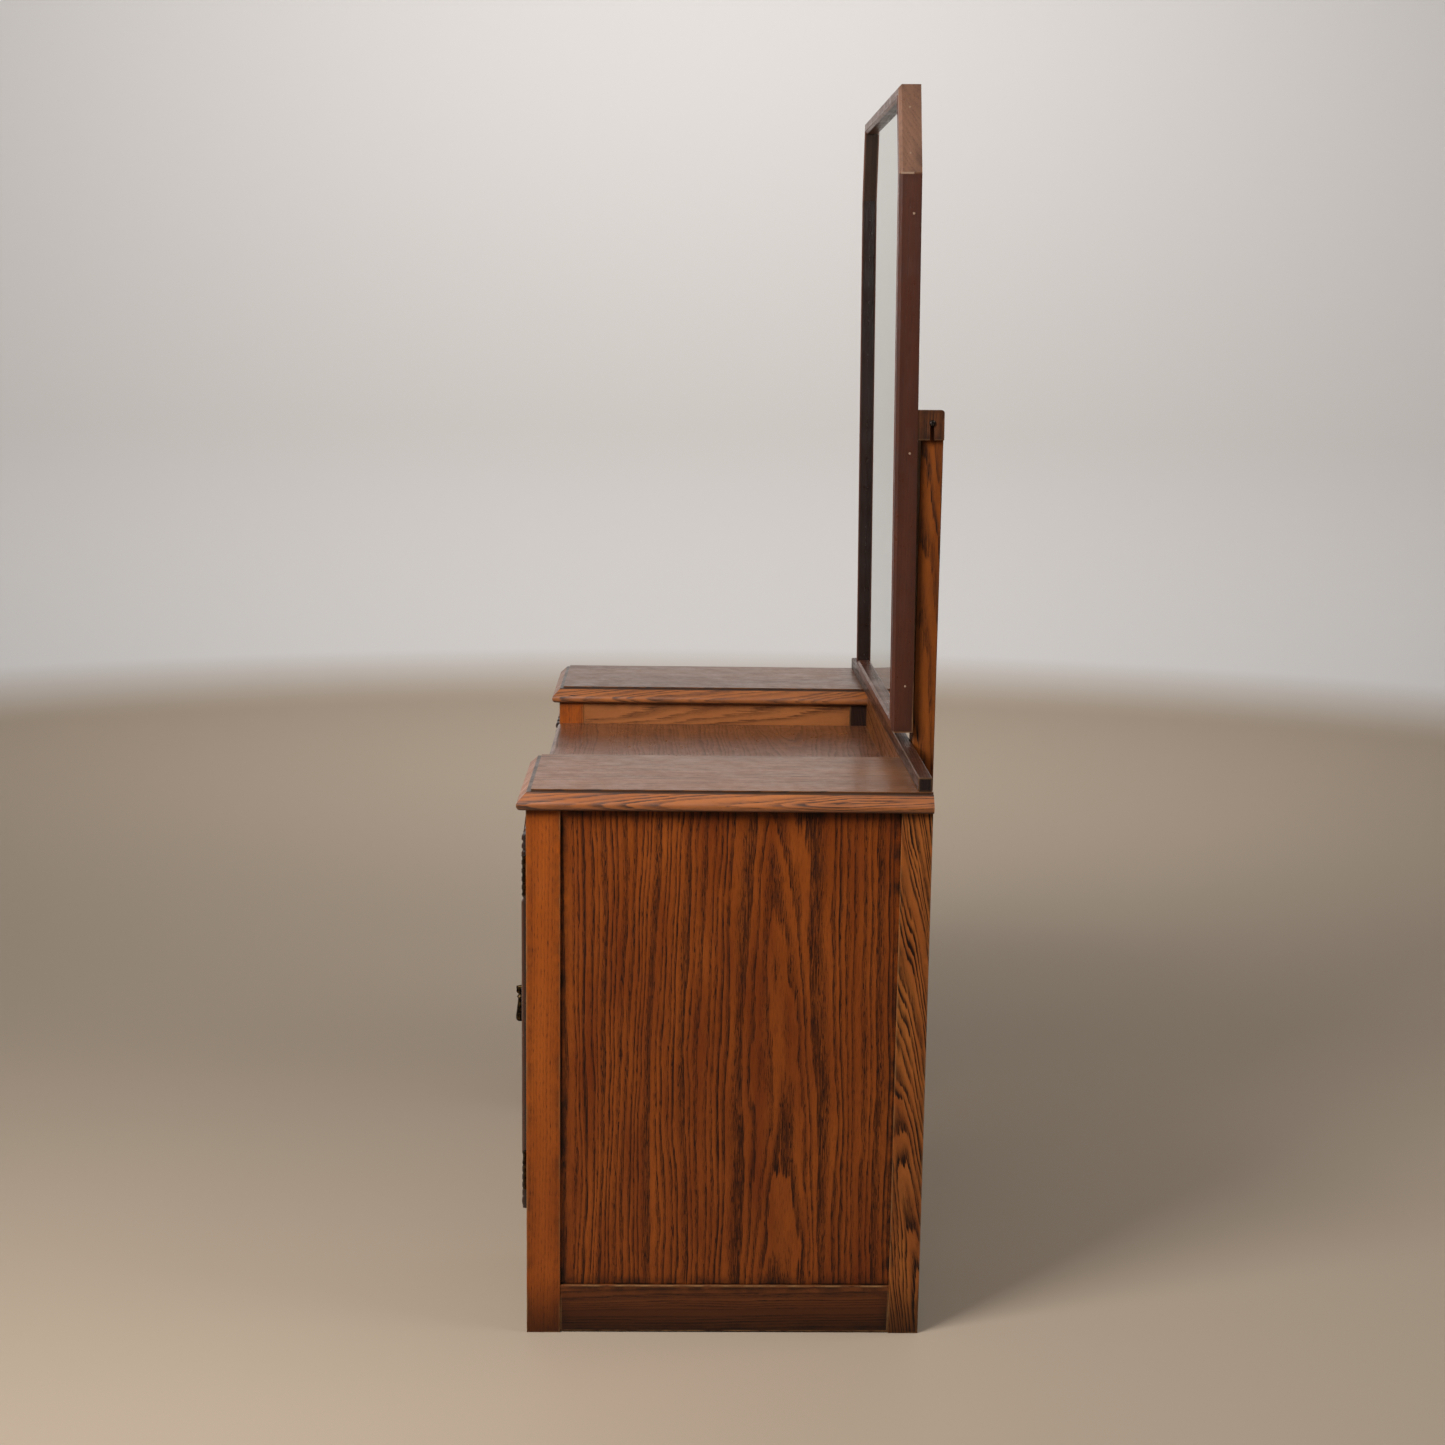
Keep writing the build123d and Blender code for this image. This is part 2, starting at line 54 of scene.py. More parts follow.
# ---------------------------------------------------------------- side frames
# Each pedestal stands on two frames of sawn oak. The legs run down to the floor, the rails are
# tenoned between them a millimetre behind the leg faces, and all of it is stained and wax polished.
def linear(hex_colour):
    """A linear colour from its sRGB hex value."""
    values = [int(hex_colour[start:start + 2], 16) / 255 for start in (1, 3, 5)]
    return (*[v / 12.92 if v <= 0.04045 else ((v + 0.055) / 1.055) ** 2.4 for v in values], 1.0)


def add_node(tree, kind, inputs=None, **settings):
    """Adds a node, sets it, and feeds its inputs with numbers, colours or other nodes' outputs."""
    node = tree.nodes.new(kind)
    for key, value in settings.items():
        setattr(node, key, value)
    for key, value in (inputs or {}).items():
        if isinstance(value, bpy.types.Node):
            value = value.outputs[0]
        if isinstance(value, bpy.types.NodeSocket):
            tree.links.new(value, node.inputs[key])
        else:
            node.inputs[key].default_value = value
    return node


def new_group(name, inputs, outputs):
    """An empty node group with the sockets named, floats unless the name is Place, Near or Far."""
    tree = bpy.data.node_groups.new(name, "ShaderNodeTree")
    for direction, names in (("INPUT", inputs), ("OUTPUT", outputs)):
        for socket in names:
            kind = "NodeSocketVector" if socket in ("Place", "Near", "Far") else "NodeSocketFloat"
            tree.interface.new_socket(name=socket, in_out=direction, socket_type=kind)
    return tree


# Oak is ring porous: each ring starts with a band of coarse pores, which take the stain and show
# as a dark broken line. Rings are cylinders round a heart that leans a little to the board, so a
# face across them shows arches and a face along them straight lines. All lengths are millimetres.
FIGURE_INPUTS = ("Place", "Ring", "Heart across", "Heart depth", "Climb", "Wander", "Ragged", "Seed")
figure = new_group("oak_figure", FIGURE_INPUTS, ("Line", "Tone", "Pore"))
given = figure.nodes.new("NodeGroupInput").outputs
shifted = add_node(figure, "ShaderNodeVectorMath",
                   {0: given["Seed"], 1: (31.7, 77.1, 413.0), 2: given["Place"]}, operation="MULTIPLY_ADD")
# The tree's slow wander, over about 80 mm across the grain and 420 mm along it.
slow = add_node(figure, "ShaderNodeVectorMath", {0: shifted, 1: (1 / 80, 1 / 80, 1 / 420)},
                operation="MULTIPLY")
wander = add_node(figure, "ShaderNodeTexNoise", {"Vector": slow, "Scale": 1.0, "Detail": 3.0,
                                                 "Roughness": 0.55})
wander_mid = add_node(figure, "ShaderNodeVectorMath", {0: wander.outputs["Color"], 1: (0.5, 0.5, 0.5)},
                      operation="SUBTRACT")
wander_mm = add_node(figure, "ShaderNodeVectorMath", {0: wander_mid, "Scale": given["Wander"]},
                     operation="SCALE")
place_wandered = add_node(figure, "ShaderNodeVectorMath", {0: given["Place"], 1: wander_mm},
                          operation="ADD")
part = add_node(figure, "ShaderNodeSeparateXYZ", {0: place_wandered}).outputs
# Bundles of pores 1.8 mm wide and 40 mm long, drawn coarser than the real ones so that they show.
streak_place = add_node(figure, "ShaderNodeVectorMath", {0: shifted, 1: (1 / 1.8, 1 / 1.8, 1 / 40)},
                        operation="MULTIPLY")
streak = add_node(figure, "ShaderNodeTexNoise", {"Vector": streak_place, "Scale": 1.0, "Detail": 2.0,
                                                 "Roughness": 0.6})
across = add_node(figure, "ShaderNodeMath", {0: part["X"], 1: given["Heart across"]}, operation="SUBTRACT")
leaned = add_node(figure, "ShaderNodeMath", {0: part["Z"], 1: given["Climb"], 2: given["Heart depth"]},
                  operation="MULTIPLY_ADD")
depth = add_node(figure, "ShaderNodeMath", {0: part["Y"], 1: leaned}, operation="ADD")
from_heart = add_node(figure, "ShaderNodeCombineXYZ", {0: across, 1: depth})
radius = add_node(figure, "ShaderNodeVectorMath", {0: from_heart}, operation="LENGTH").outputs["Value"]
ragged = add_node(figure, "ShaderNodeMath", {0: streak, 1: given["Ragged"], 2: radius},
                  operation="MULTIPLY_ADD")
rings = add_node(figure, "ShaderNodeMath", {0: ragged, 1: given["Ring"]}, operation="DIVIDE")
# Good and lean years: the ring width changes over two or three rings.
year_place = add_node(figure, "ShaderNodeMath", {0: rings, 1: 0.43, 2: given["Seed"]},
                      operation="MULTIPLY_ADD")
years = add_node(figure, "ShaderNodeTexNoise", {"W": year_place, "Scale": 1.0, "Detail": 0.0},
                 noise_dimensions="1D")
uneven = add_node(figure, "ShaderNodeMath", {0: years, 1: 1.6, 2: rings}, operation="MULTIPLY_ADD")
phase = add_node(figure, "ShaderNodeMath", {0: uneven}, operation="FRACT")
year = add_node(figure, "ShaderNodeMath", {0: uneven}, operation="FLOOR")
year_seed = add_node(figure, "ShaderNodeMath", {0: year, 1: given["Seed"]}, operation="ADD")
year_strength = add_node(figure, "ShaderNodeTexWhiteNoise", {"W": year_seed}, noise_dimensions="1D")
rise = add_node(figure, "ShaderNodeMapRange", {"Value": phase, "From Min": 0.0, "From Max": 0.1},
                interpolation_type="SMOOTHSTEP")
fall = add_node(figure, "ShaderNodeMapRange", {"Value": phase, "From Min": 0.12, "From Max": 0.8,
                                               "To Min": 1.0, "To Max": 0.0},
                interpolation_type="SMOOTHSTEP")
early = add_node(figure, "ShaderNodeMath", {0: rise, 1: fall}, operation="MULTIPLY")
year_scale = add_node(figure, "ShaderNodeMapRange", {"Value": year_strength, "To Min": 0.45})
early_year = add_node(figure, "ShaderNodeMath", {0: early, 1: year_scale}, operation="MULTIPLY")
broken = add_node(figure, "ShaderNodeMapRange", {"Value": streak, "From Min": 0.32, "From Max": 0.62,
                                                 "To Min": 0.25, "To Max": 1.15})
line = add_node(figure, "ShaderNodeMath", {0: early_year, 1: broken}, operation="MULTIPLY", use_clamp=True)
# Single pores 0.6 mm wide and 9 mm long, twice the real width so that they show close to.
pore_place = add_node(figure, "ShaderNodeVectorMath", {0: shifted, 1: (1 / 0.6, 1 / 0.6, 1 / 9)},
                      operation="MULTIPLY")
pore_noise = add_node(figure, "ShaderNodeTexNoise", {"Vector": pore_place, "Scale": 1.0, "Detail": 1.0})
pore_near = add_node(figure, "ShaderNodeMapRange", {"Value": pore_noise, "From Min": 0.54, "From Max": 0.66},
                     interpolation_type="SMOOTHSTEP")
pore_share = add_node(figure, "ShaderNodeMapRange", {"Value": early, "To Min": 0.3})
pore = add_node(figure, "ShaderNodeMath", {0: pore_near, 1: pore_share}, operation="MULTIPLY")
tone_place = add_node(figure, "ShaderNodeVectorMath", {0: shifted, 1: (1 / 34, 1 / 34, 1 / 210)},
                      operation="MULTIPLY")
tone = add_node(figure, "ShaderNodeTexNoise", {"Vector": tone_place, "Scale": 1.0, "Detail": 4.0,
                                               "Roughness": 0.6})
tone_full = add_node(figure, "ShaderNodeMapRange", {"Value": tone, "From Min": 0.3, "From Max": 0.7})
add_node(figure, "NodeGroupOutput", {"Line": line, "Tone": tone_full, "Pore": pore})

# How near a point is to an arris of its board: the middle one of its three distances to the faces.
edges = new_group("board_edges", ("Near", "Far"), ("Arris", "Rim"))
sides = edges.nodes.new("NodeGroupInput").outputs
nearest = add_node(edges, "ShaderNodeVectorMath", {0: sides["Near"], 1: sides["Far"]}, operation="MINIMUM")
gap = add_node(edges, "ShaderNodeSeparateXYZ", {0: nearest}).outputs
low = add_node(edges, "ShaderNodeMath", {0: gap["X"], 1: gap["Y"]}, operation="MINIMUM")
high = add_node(edges, "ShaderNodeMath", {0: gap["X"], 1: gap["Y"]}, operation="MAXIMUM")
capped = add_node(edges, "ShaderNodeMath", {0: high, 1: gap["Z"]}, operation="MINIMUM")
middle = add_node(edges, "ShaderNodeMath", {0: low, 1: capped}, operation="MAXIMUM")
arris = add_node(edges, "ShaderNodeMapRange", {"Value": middle, "From Min": 0.5, "From Max": 2.6,
                                               "To Min": 1.0, "To Max": 0.0},
                 interpolation_type="SMOOTHSTEP")
rim = add_node(edges, "ShaderNodeMapRange", {"Value": middle, "From Min": 1.0, "From Max": 16.0,
                                             "To Min": 1.0, "To Max": 0.0},
               interpolation_type="SMOOTHSTEP")
add_node(edges, "NodeGroupOutput", {"Arris": arris, "Rim": rim})


def oak(name, box, grain, flat, wood, glow, dark, ring=5.0, heart=(0, 70), climb=0.04, wander=16.0,
        ragged=2.4, seed=0.0, strength=0.9, rough=0.40, grime=0.45, wear=0.35, worn="#a87a4c", pores=0.4,
        gloss=0.16, coat=0.03, tilt=None):
    """Sawn oak under stain and wax. grain and flat are the axes, 0 to 2, of the grain and of the
    broad face; heart is where the tree's heart lies, across the face and behind it, in mm."""
    material = bpy.data.materials.new(name)
    material.use_nodes = True
    tree = material.node_tree
    shader = tree.nodes["Principled BSDF"]
    low_corner, high_corner = box
    cross = 3 - grain - flat
    place = add_node(tree, "ShaderNodeTexCoord").outputs["Object"]
    centred = add_node(tree, "ShaderNodeMapping",
                       {"Vector": place, "Location": -(low_corner + high_corner) / 2}, vector_type="POINT")
    in_mm = add_node(tree, "ShaderNodeVectorMath", {0: centred, "Scale": 1000.0}, operation="SCALE")
    axes = add_node(tree, "ShaderNodeSeparateXYZ", {0: in_mm}).outputs
    board = add_node(tree, "ShaderNodeCombineXYZ", {0: axes[cross], 1: axes[flat], 2: axes[grain]})
    if tilt:
        board = add_node(tree, "ShaderNodeVectorRotate", {"Vector": board, "Angle": tilt},
                         rotation_type="Y_AXIS")
    figured = add_node(tree, "ShaderNodeGroup", node_tree=figure)
    tree.links.new(board.outputs[0], figured.inputs["Place"])
    for key, value in zip(FIGURE_INPUTS[1:], (ring, heart[0], heart[1], climb, wander, ragged, seed)):
        figured.inputs[key].default_value = value
    from_low = add_node(tree, "ShaderNodeVectorMath", {0: place, 1: low_corner}, operation="SUBTRACT")
    from_high = add_node(tree, "ShaderNodeVectorMath", {0: high_corner, 1: place}, operation="SUBTRACT")
    low_mm = add_node(tree, "ShaderNodeVectorMath", {0: from_low, "Scale": 1000.0}, operation="SCALE")
    high_mm = add_node(tree, "ShaderNodeVectorMath", {0: from_high, "Scale": 1000.0}, operation="SCALE")
    edged = add_node(tree, "ShaderNodeGroup", node_tree=edges)
    tree.links.new(low_mm.outputs[0], edged.inputs["Near"])
    tree.links.new(high_mm.outputs[0], edged.inputs["Far"])
    # Handling: rubs and smears 20 to 60 mm across break up the worn arrises and the grime.
    rubbed = add_node(tree, "ShaderNodeTexNoise", {"Vector": in_mm, "Scale": 1 / 28, "Detail": 4.0,
                                                   "Roughness": 0.65})
    rub = add_node(tree, "ShaderNodeMapRange", {"Value": rubbed, "From Min": 0.36, "From Max": 0.64})
    ground = add_node(tree, "ShaderNodeMix", {0: figured.outputs["Tone"], 6: linear(wood), 7: linear(glow)},
                      data_type="RGBA").outputs[2]
    line_share = add_node(tree, "ShaderNodeMath", {0: figured.outputs["Line"], 1: strength},
                          operation="MULTIPLY")
    pore_share = add_node(tree, "ShaderNodeMath", {0: figured.outputs["Pore"], 1: pores, 2: line_share},
                          operation="MULTIPLY_ADD", use_clamp=True)
    lined = add_node(tree, "ShaderNodeMix", {0: pore_share, 6: ground, 7: linear(dark)},
                     data_type="RGBA").outputs[2]
    grime_rub = add_node(tree, "ShaderNodeMath", {0: edged.outputs["Rim"], 1: rub}, operation="MULTIPLY")
    grime_share = add_node(tree, "ShaderNodeMath", {0: grime_rub, 1: grime}, operation="MULTIPLY")
    grimed = add_node(tree, "ShaderNodeMix", {0: grime_share, 6: lined, 7: linear("#1e1009")},
                      data_type="RGBA").outputs[2]
    # Whatever stands on the floor is coloured darker over its lowest 90 mm, darkest at the floor.
    above_floor = add_node(tree, "ShaderNodeSeparateXYZ", {0: place}).outputs["Z"]
    near_floor_dark = add_node(tree, "ShaderNodeMapRange", {"Value": above_floor, "From Min": 0.0, "From Max": 0.09,
                                                   "To Min": 0.75, "To Max": 0.0},
                      interpolation_type="SMOOTHSTEP")
    footed = add_node(tree, "ShaderNodeMix", {0: near_floor_dark, 6: grimed, 7: linear("#180d08")},
                      data_type="RGBA").outputs[2]
    wear_rub = add_node(tree, "ShaderNodeMath", {0: edged.outputs["Arris"], 1: rub}, operation="MULTIPLY")
    wear_share = add_node(tree, "ShaderNodeMath", {0: wear_rub, 1: wear}, operation="MULTIPLY",
                          use_clamp=True)
    finished = add_node(tree, "ShaderNodeMix", {0: wear_share, 6: footed, 7: linear(worn)},
                        data_type="RGBA").outputs[2]
    tree.links.new(finished, shader.inputs["Base Color"])
    dulled = add_node(tree, "ShaderNodeMath", {0: rub, 1: 0.14, 2: rough - 0.07}, operation="MULTIPLY_ADD")
    pored = add_node(tree, "ShaderNodeMath", {0: pore_share, 1: 0.16, 2: dulled}, operation="MULTIPLY_ADD")
    tree.links.new(pored.outputs[0], shader.inputs["Roughness"])
    relief = add_node(tree, "ShaderNodeMath", {0: pore_share, 1: -1.0, 2: 1.0}, operation="MULTIPLY_ADD")
    bump = add_node(tree, "ShaderNodeBump", {"Height": relief, "Strength": 0.35, "Distance": 0.0004})
    tree.links.new(bump.outputs["Normal"], shader.inputs["Normal"])
    shader.inputs["IOR"].default_value = 1.5
    shader.inputs["Specular IOR Level"].default_value = gloss
    shader.inputs["Coat Weight"].default_value = coat
    shader.inputs["Coat Roughness"].default_value = 0.2
    return material


def finish_with(node, material):
    """Gives a CAD node its finish."""
    slots = frame["nodes"][node].data.materials
    slots.clear()
    slots.append(material)


def reopen(material):
    """A finish to be coloured further: its nodes, its shader, its colour so far and a point's place."""
    tree = material.node_tree
    shader = tree.nodes["Principled BSDF"]
    before = shader.inputs["Base Color"].links[0].from_socket
    place = add_node(tree, "ShaderNodeTexCoord").outputs["Object"]
    return tree, shader, before, place


X, Y, Z = 0, 1, 2
for side, sign in SIDES:
    odd = 0.5 - 0.5 * sign
    # Straight-grained front legs, orange brown where hands and light have reached them.
    for place, heart_across in (("outer", 130), ("inner", -110)):
        node = f"{place}_front_leg_{side}"
        finish_with(node, oak(f"stained_oak_{node}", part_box(node), Z, X, "#863f12", "#994d18", "#4c230d",
                              ring=3.6, heart=(heart_across, 60), climb=0.02, wander=10,
                              seed=1 + odd * 3 + heart_across / 100, strength=0.28, pores=0.7))
    # Rear legs from near the heart, with wild figure.
    # The inner rear legs, at the back of the kneehole, are coloured near black: partly dark stain, partly
    # painted shade.
    for place, heart_across, wood, glow in (("outer", -26, "#803f19", "#a3602a"),
                                            ("inner", 22, "#251510", "#301c14")):
        node = f"{place}_rear_leg_{side}"
        finish_with(node, oak(f"figured_oak_{node}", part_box(node), Z, X, wood, glow, "#1c0c05",
                              ring=4.0, heart=(heart_across, 22), climb=0.07 * sign, wander=34,
                              ragged=2.4, seed=8.4 + odd * 5 + heart_across / 10, strength=1.5, tilt=0.17))
    for place in ("outer", "inner"):
        node = f"{place}_bottom_rail_{side}"
        finish_with(node, oak(f"dark_oak_{node}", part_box(node), Y, X, "#643113", "#784221", "#2c1508",
                              ring=4.0, heart=(60, 40), climb=0.02, wander=12,
                              seed=14 + odd * 3 + len(place), grime=0.8, wear=0.6))
    node = f"inner_top_rail_{side}"
    finish_with(node, oak(f"stained_oak_{node}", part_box(node), Y, X, "#884f2a", "#9c6034", "#4c2812",
                          ring=4.5, heart=(30, 50), climb=0.03, wander=12, seed=19 + odd * 2))


# ---------------------------------------------------------------- side panels
# Oak veneer on thin ply, let into grooves in the legs and rails and set 5 mm back. The sheet is cut
# flat off the log, so tall arches climb its rear half and its front runs straight.
for side, sign in SIDES:
    odd = 0.5 - 0.5 * sign
    for place, heart_across, seed in (("outer", 66, 23.0), ("inner", -30, 27.0)):
        node = f"{place}_panel_{side}"
        low_corner, high_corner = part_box(node)
        shown = (low_corner + Vector((0, 0.0065, 0.0065)), high_corner - Vector((0, 0.0065, 0)))
        # The panels' arris wear is near black: a thin dark line round the sheet where it sits back in the frame,
        # partly stain gathered in the recess and partly painted shade.
        finish_with(node, oak(f"veneered_oak_{node}", shown, Z, X, "#692d0c", "#8e4716", "#240d03",
                              ring=7.4, heart=(heart_across, 62), climb=0.022, wander=30, ragged=2.8,
                              seed=seed + odd * 1.7, strength=1.1, pores=0.9, grime=0.85, wear=1.3,
                              worn="#170b05"))


# ---------------------------------------------------------------- plinths and inside boards
# The plinth rails are oak like the legs. Floors and shelves are plain boards, and the backs are
# thin ply, left unpolished and held by round nails round their edges.
for side, sign in SIDES:
    odd = 0.5 - 0.5 * sign
    node = f"plinth_rail_{side}"
    finish_with(node, oak(f"stained_oak_{node}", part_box(node), X, Y, "#6f3d1d", "#85502a", "#391c0c",
                          ring=5.0, heart=(20, 45), climb=0.05, wander=14, seed=31 + odd, grime=0.7))
for node, seed in (("floor_boards", 34.0), ("shelves", 35.5)):
    finish_with(node, oak(f"plain_board_{node}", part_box(node), Y, Z, "#9a7145", "#b08452", "#6a4829",
                          ring=4.5, heart=(0, 60), climb=0.03, wander=18, seed=seed, strength=0.5,
                          rough=0.62, grime=0.3, wear=0.0, coat=0.0))
finish_with("back_panels", oak("birch_ply_back_panels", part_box("back_panels"), Z, Y, "#8d6a44", "#a07c52",
                               "#6b4c2e", ring=9.0, heart=(60, 120), climb=0.06, wander=40, seed=37,
                               strength=0.45, rough=0.65, grime=0.4, wear=0.0, coat=0.0))


def metal(name, body_hex, bright_hex, dark_hex, rough, patch_mm):
    """Aged metal: tarnish in patches patch_mm across, with brighter rubbed metal between them."""
    material = bpy.data.materials.new(name)
    material.use_nodes = True
    tree = material.node_tree
    shader = tree.nodes["Principled BSDF"]
    place = add_node(tree, "ShaderNodeTexCoord").outputs["Object"]
    patches = add_node(tree, "ShaderNodeTexNoise", {"Vector": place, "Scale": 1000 / patch_mm, "Detail": 5.0,
                                                    "Roughness": 0.65})
    bright = add_node(tree, "ShaderNodeMapRange", {"Value": patches, "From Min": 0.48, "From Max": 0.68})
    tarnish = add_node(tree, "ShaderNodeMapRange", {"Value": patches, "From Min": 0.46, "From Max": 0.32})
    rubbed = add_node(tree, "ShaderNodeMix", {0: bright, 6: linear(body_hex), 7: linear(bright_hex)},
                      data_type="RGBA").outputs[2]
    coloured = add_node(tree, "ShaderNodeMix", {0: tarnish, 6: rubbed, 7: linear(dark_hex)},
                        data_type="RGBA").outputs[2]
    tree.links.new(coloured, shader.inputs["Base Color"])
    roughness = add_node(tree, "ShaderNodeMath", {0: tarnish, 1: 0.25, 2: rough}, operation="MULTIPLY_ADD")
    tree.links.new(roughness.outputs[0], shader.inputs["Roughness"])
    pits = add_node(tree, "ShaderNodeBump", {"Height": patches, "Strength": 0.3, "Distance": 0.0002})
    tree.links.new(pits.outputs["Normal"], shader.inputs["Normal"])
    shader.inputs["Metallic"].default_value = 1.0
    return material


def piece(name, mesh_data, material, body, smooth=True):
    """A finished piece from (vertices, faces), riding on its CAD body."""
    mesh = bpy.data.meshes.new(name)
    points, faces = mesh_data
    mesh.from_pydata(points, [], faces)
    made = bmesh.new()
    made.from_mesh(mesh)
    bmesh.ops.remove_doubles(made, verts=made.verts, dist=1e-7)
    bmesh.ops.recalc_face_normals(made, faces=made.faces)
    made.to_mesh(mesh)
    made.free()
    mesh.materials.append(material)
    if smooth:
        mesh.shade_smooth()
        mesh.set_sharp_from_angle(angle=math.radians(38))
    shown = bpy.data.objects.new(name, mesh)
    bpy.context.scene.collection.objects.link(shown)
    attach(shown, body)
    return shown


def turned(profile, spot, axis, steps=20, capped=True):
    """A piece turned on a lathe: profile is (radius, distance along the axis) from spot."""
    way = Vector(axis).normalized()
    one = way.orthogonal().normalized()
    two = way.cross(one)
    points, faces = [], []
    for radius_here, along in profile:
        for step in range(steps):
            angle = 2 * math.pi * step / steps
            points.append(Vector(spot) + way * along
                          + (one * math.cos(angle) + two * math.sin(angle)) * radius_here)
    for ring_index in range(len(profile) - 1):
        for step in range(steps):
            after = (step + 1) % steps
            low_ring, high_ring = ring_index * steps, (ring_index + 1) * steps
            faces.append((low_ring + step, low_ring + after, high_ring + after, high_ring + step))
    if capped:
        faces.append(tuple(range(steps)))
        faces.append(tuple(range((len(profile) - 1) * steps, len(profile) * steps)))
    return points, faces


def together(parts):
    """Several (vertices, faces) as one."""
    points, faces = [], []
    for some_points, some_faces in parts:
        start = len(points)
        points += some_points
        faces += [tuple(start + index for index in face) for face in some_faces]
    return points, faces


wire_nail = metal("bright_wire_nail_rusting", "#4a3f38", "#8a8078", "#3a2216", 0.45, 2.0)
nail_head = [(0.0014, -0.0004), (0.0014, 0.0002), (0.0009, 0.0005), (0.0003, 0.0006)]
low_corner, high_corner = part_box("back_panels")
bay_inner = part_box("plinth_rail_right")[0].x
nails = []
for side, sign in SIDES:
    for column in (bay_inner + 0.006, high_corner.x - 0.006):
        for row in range(8):
            height = low_corner.z + 0.02 + row * (high_corner.z - low_corner.z - 0.04) / 7
            nails.append(turned(nail_head, (sign * column, high_corner.y, height), (0, 1, 0), 10))
piece("back_panel_nails", together(nails), wire_nail, "carcass")


# ---------------------------------------------------------------- pedestal tops
# Solid oak tops, moulded with a plane along the front and both ends: a quirk, a slope and a nose.
# The grain runs from front to back and its arches come out on the outer edge. Waxed, with painted light on the
# moulded edge and painted shade in its quirk and under its nose.
for side, sign in SIDES:
    node = f"pedestal_top_{side}"
    odd = 0.5 - 0.5 * sign
    finish_with(node, oak(f"waxed_oak_{node}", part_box(node), Y, X, "#6b4024", "#84522d", "#281409",
                          ring=4.6, heart=(0, -140 * sign), climb=0.10, wander=26, ragged=2.2,
                          seed=41.3 + odd * 4, strength=1.0, rough=0.36, grime=0.3, wear=0.15,
                          gloss=0.5, coat=0.3))
    # Painted shade darkens the quirk and the joint under the nose, and a painted highlight lightens the slope
    # and nose below the quirk.
    low_corner, high_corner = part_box(node)
    tree, shader, before, place = reopen(frame["nodes"][node].data.materials[0])
    height = add_node(tree, "ShaderNodeSeparateXYZ", {0: place}).outputs["Z"]
    # Painted highlight: everything from 4 mm below the top surface down is lightened.
    edge_share = add_node(tree, "ShaderNodeMapRange", {"Value": height, "From Min": high_corner.z - 0.0030,
                                                       "From Max": high_corner.z - 0.0040})
    painted_nose_light = add_node(tree, "ShaderNodeMix", {0: edge_share, 6: before, 7: (1.65, 1.45, 1.2, 1.0)},
                          data_type="RGBA", blend_type="MULTIPLY").outputs[2]
    # Painted shade: a dark line in the quirk, 1.4 to 3.2 mm below the top, and in the lowest 3 mm under the
    # nose.
    in_quirk = add_node(tree, "ShaderNodeMapRange", {"Value": height, "From Min": high_corner.z - 0.0006,
                                                     "From Max": high_corner.z - 0.0014})
    past_quirk = add_node(tree, "ShaderNodeMapRange", {"Value": height, "From Min": high_corner.z - 0.0032,
                                                       "From Max": high_corner.z - 0.0042,
                                                       "To Min": 1.0, "To Max": 0.0})
    under_nose = add_node(tree, "ShaderNodeMapRange", {"Value": height, "From Min": low_corner.z + 0.0032,
                                                       "From Max": low_corner.z + 0.0012})
    quirk = add_node(tree, "ShaderNodeMath", {0: in_quirk, 1: past_quirk}, operation="MULTIPLY")
    painted_shade_mask = add_node(tree, "ShaderNodeMath", {0: quirk, 1: under_nose}, operation="MAXIMUM")
    painted_shade_share = add_node(tree, "ShaderNodeMath", {0: painted_shade_mask, 1: 0.8}, operation="MULTIPLY")
    nose_shaded = add_node(tree, "ShaderNodeMix", {0: painted_shade_share, 6: painted_nose_light, 7: linear("#1a0e07")},
                     data_type="RGBA").outputs[2]
    tree.links.new(nose_shaded, shader.inputs["Base Color"])


# ---------------------------------------------------------------- centre section
# The lower top is a wide board between the pedestals, its front edge rounded. A back board rises
# behind it and carries the posts; the gallery rail lies along the backs of all three tops.
finish_with("centre_top", oak("waxed_oak_centre_top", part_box("centre_top"), X, Z, "#6a3d24", "#7d4b2b",
                              "#341b0e", ring=6.0, heart=(120, 60), climb=0.05, wander=40, seed=52,
                              strength=0.7, rough=0.33, grime=0.5, gloss=0.6, coat=0.4))
finish_with("centre_back", oak("stained_oak_centre_back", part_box("centre_back"), X, Y, "#613519",
                               "#75441f", "#2c150a", ring=5.0, heart=(20, 50), climb=0.03, wander=22,
                               seed=55, grime=0.5))
finish_with("gallery_rail", oak("waxed_oak_gallery_rail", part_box("gallery_rail"), X, Y, "#371c12",
                                "#472719", "#180c07", ring=3.8, heart=(10, 30), climb=0.02, wander=12,
                                seed=57, rough=0.34, wear=0.15, coat=0.1))
finish_with("drawer_runners", oak("plain_board_drawer_runners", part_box("drawer_runners"), Y, Z, "#8a6238",
                                  "#9d7446", "#5d3f22", ring=4.0, heart=(0, 40), seed=59, strength=0.5,
                                  rough=0.6, wear=0.0, coat=0.0))

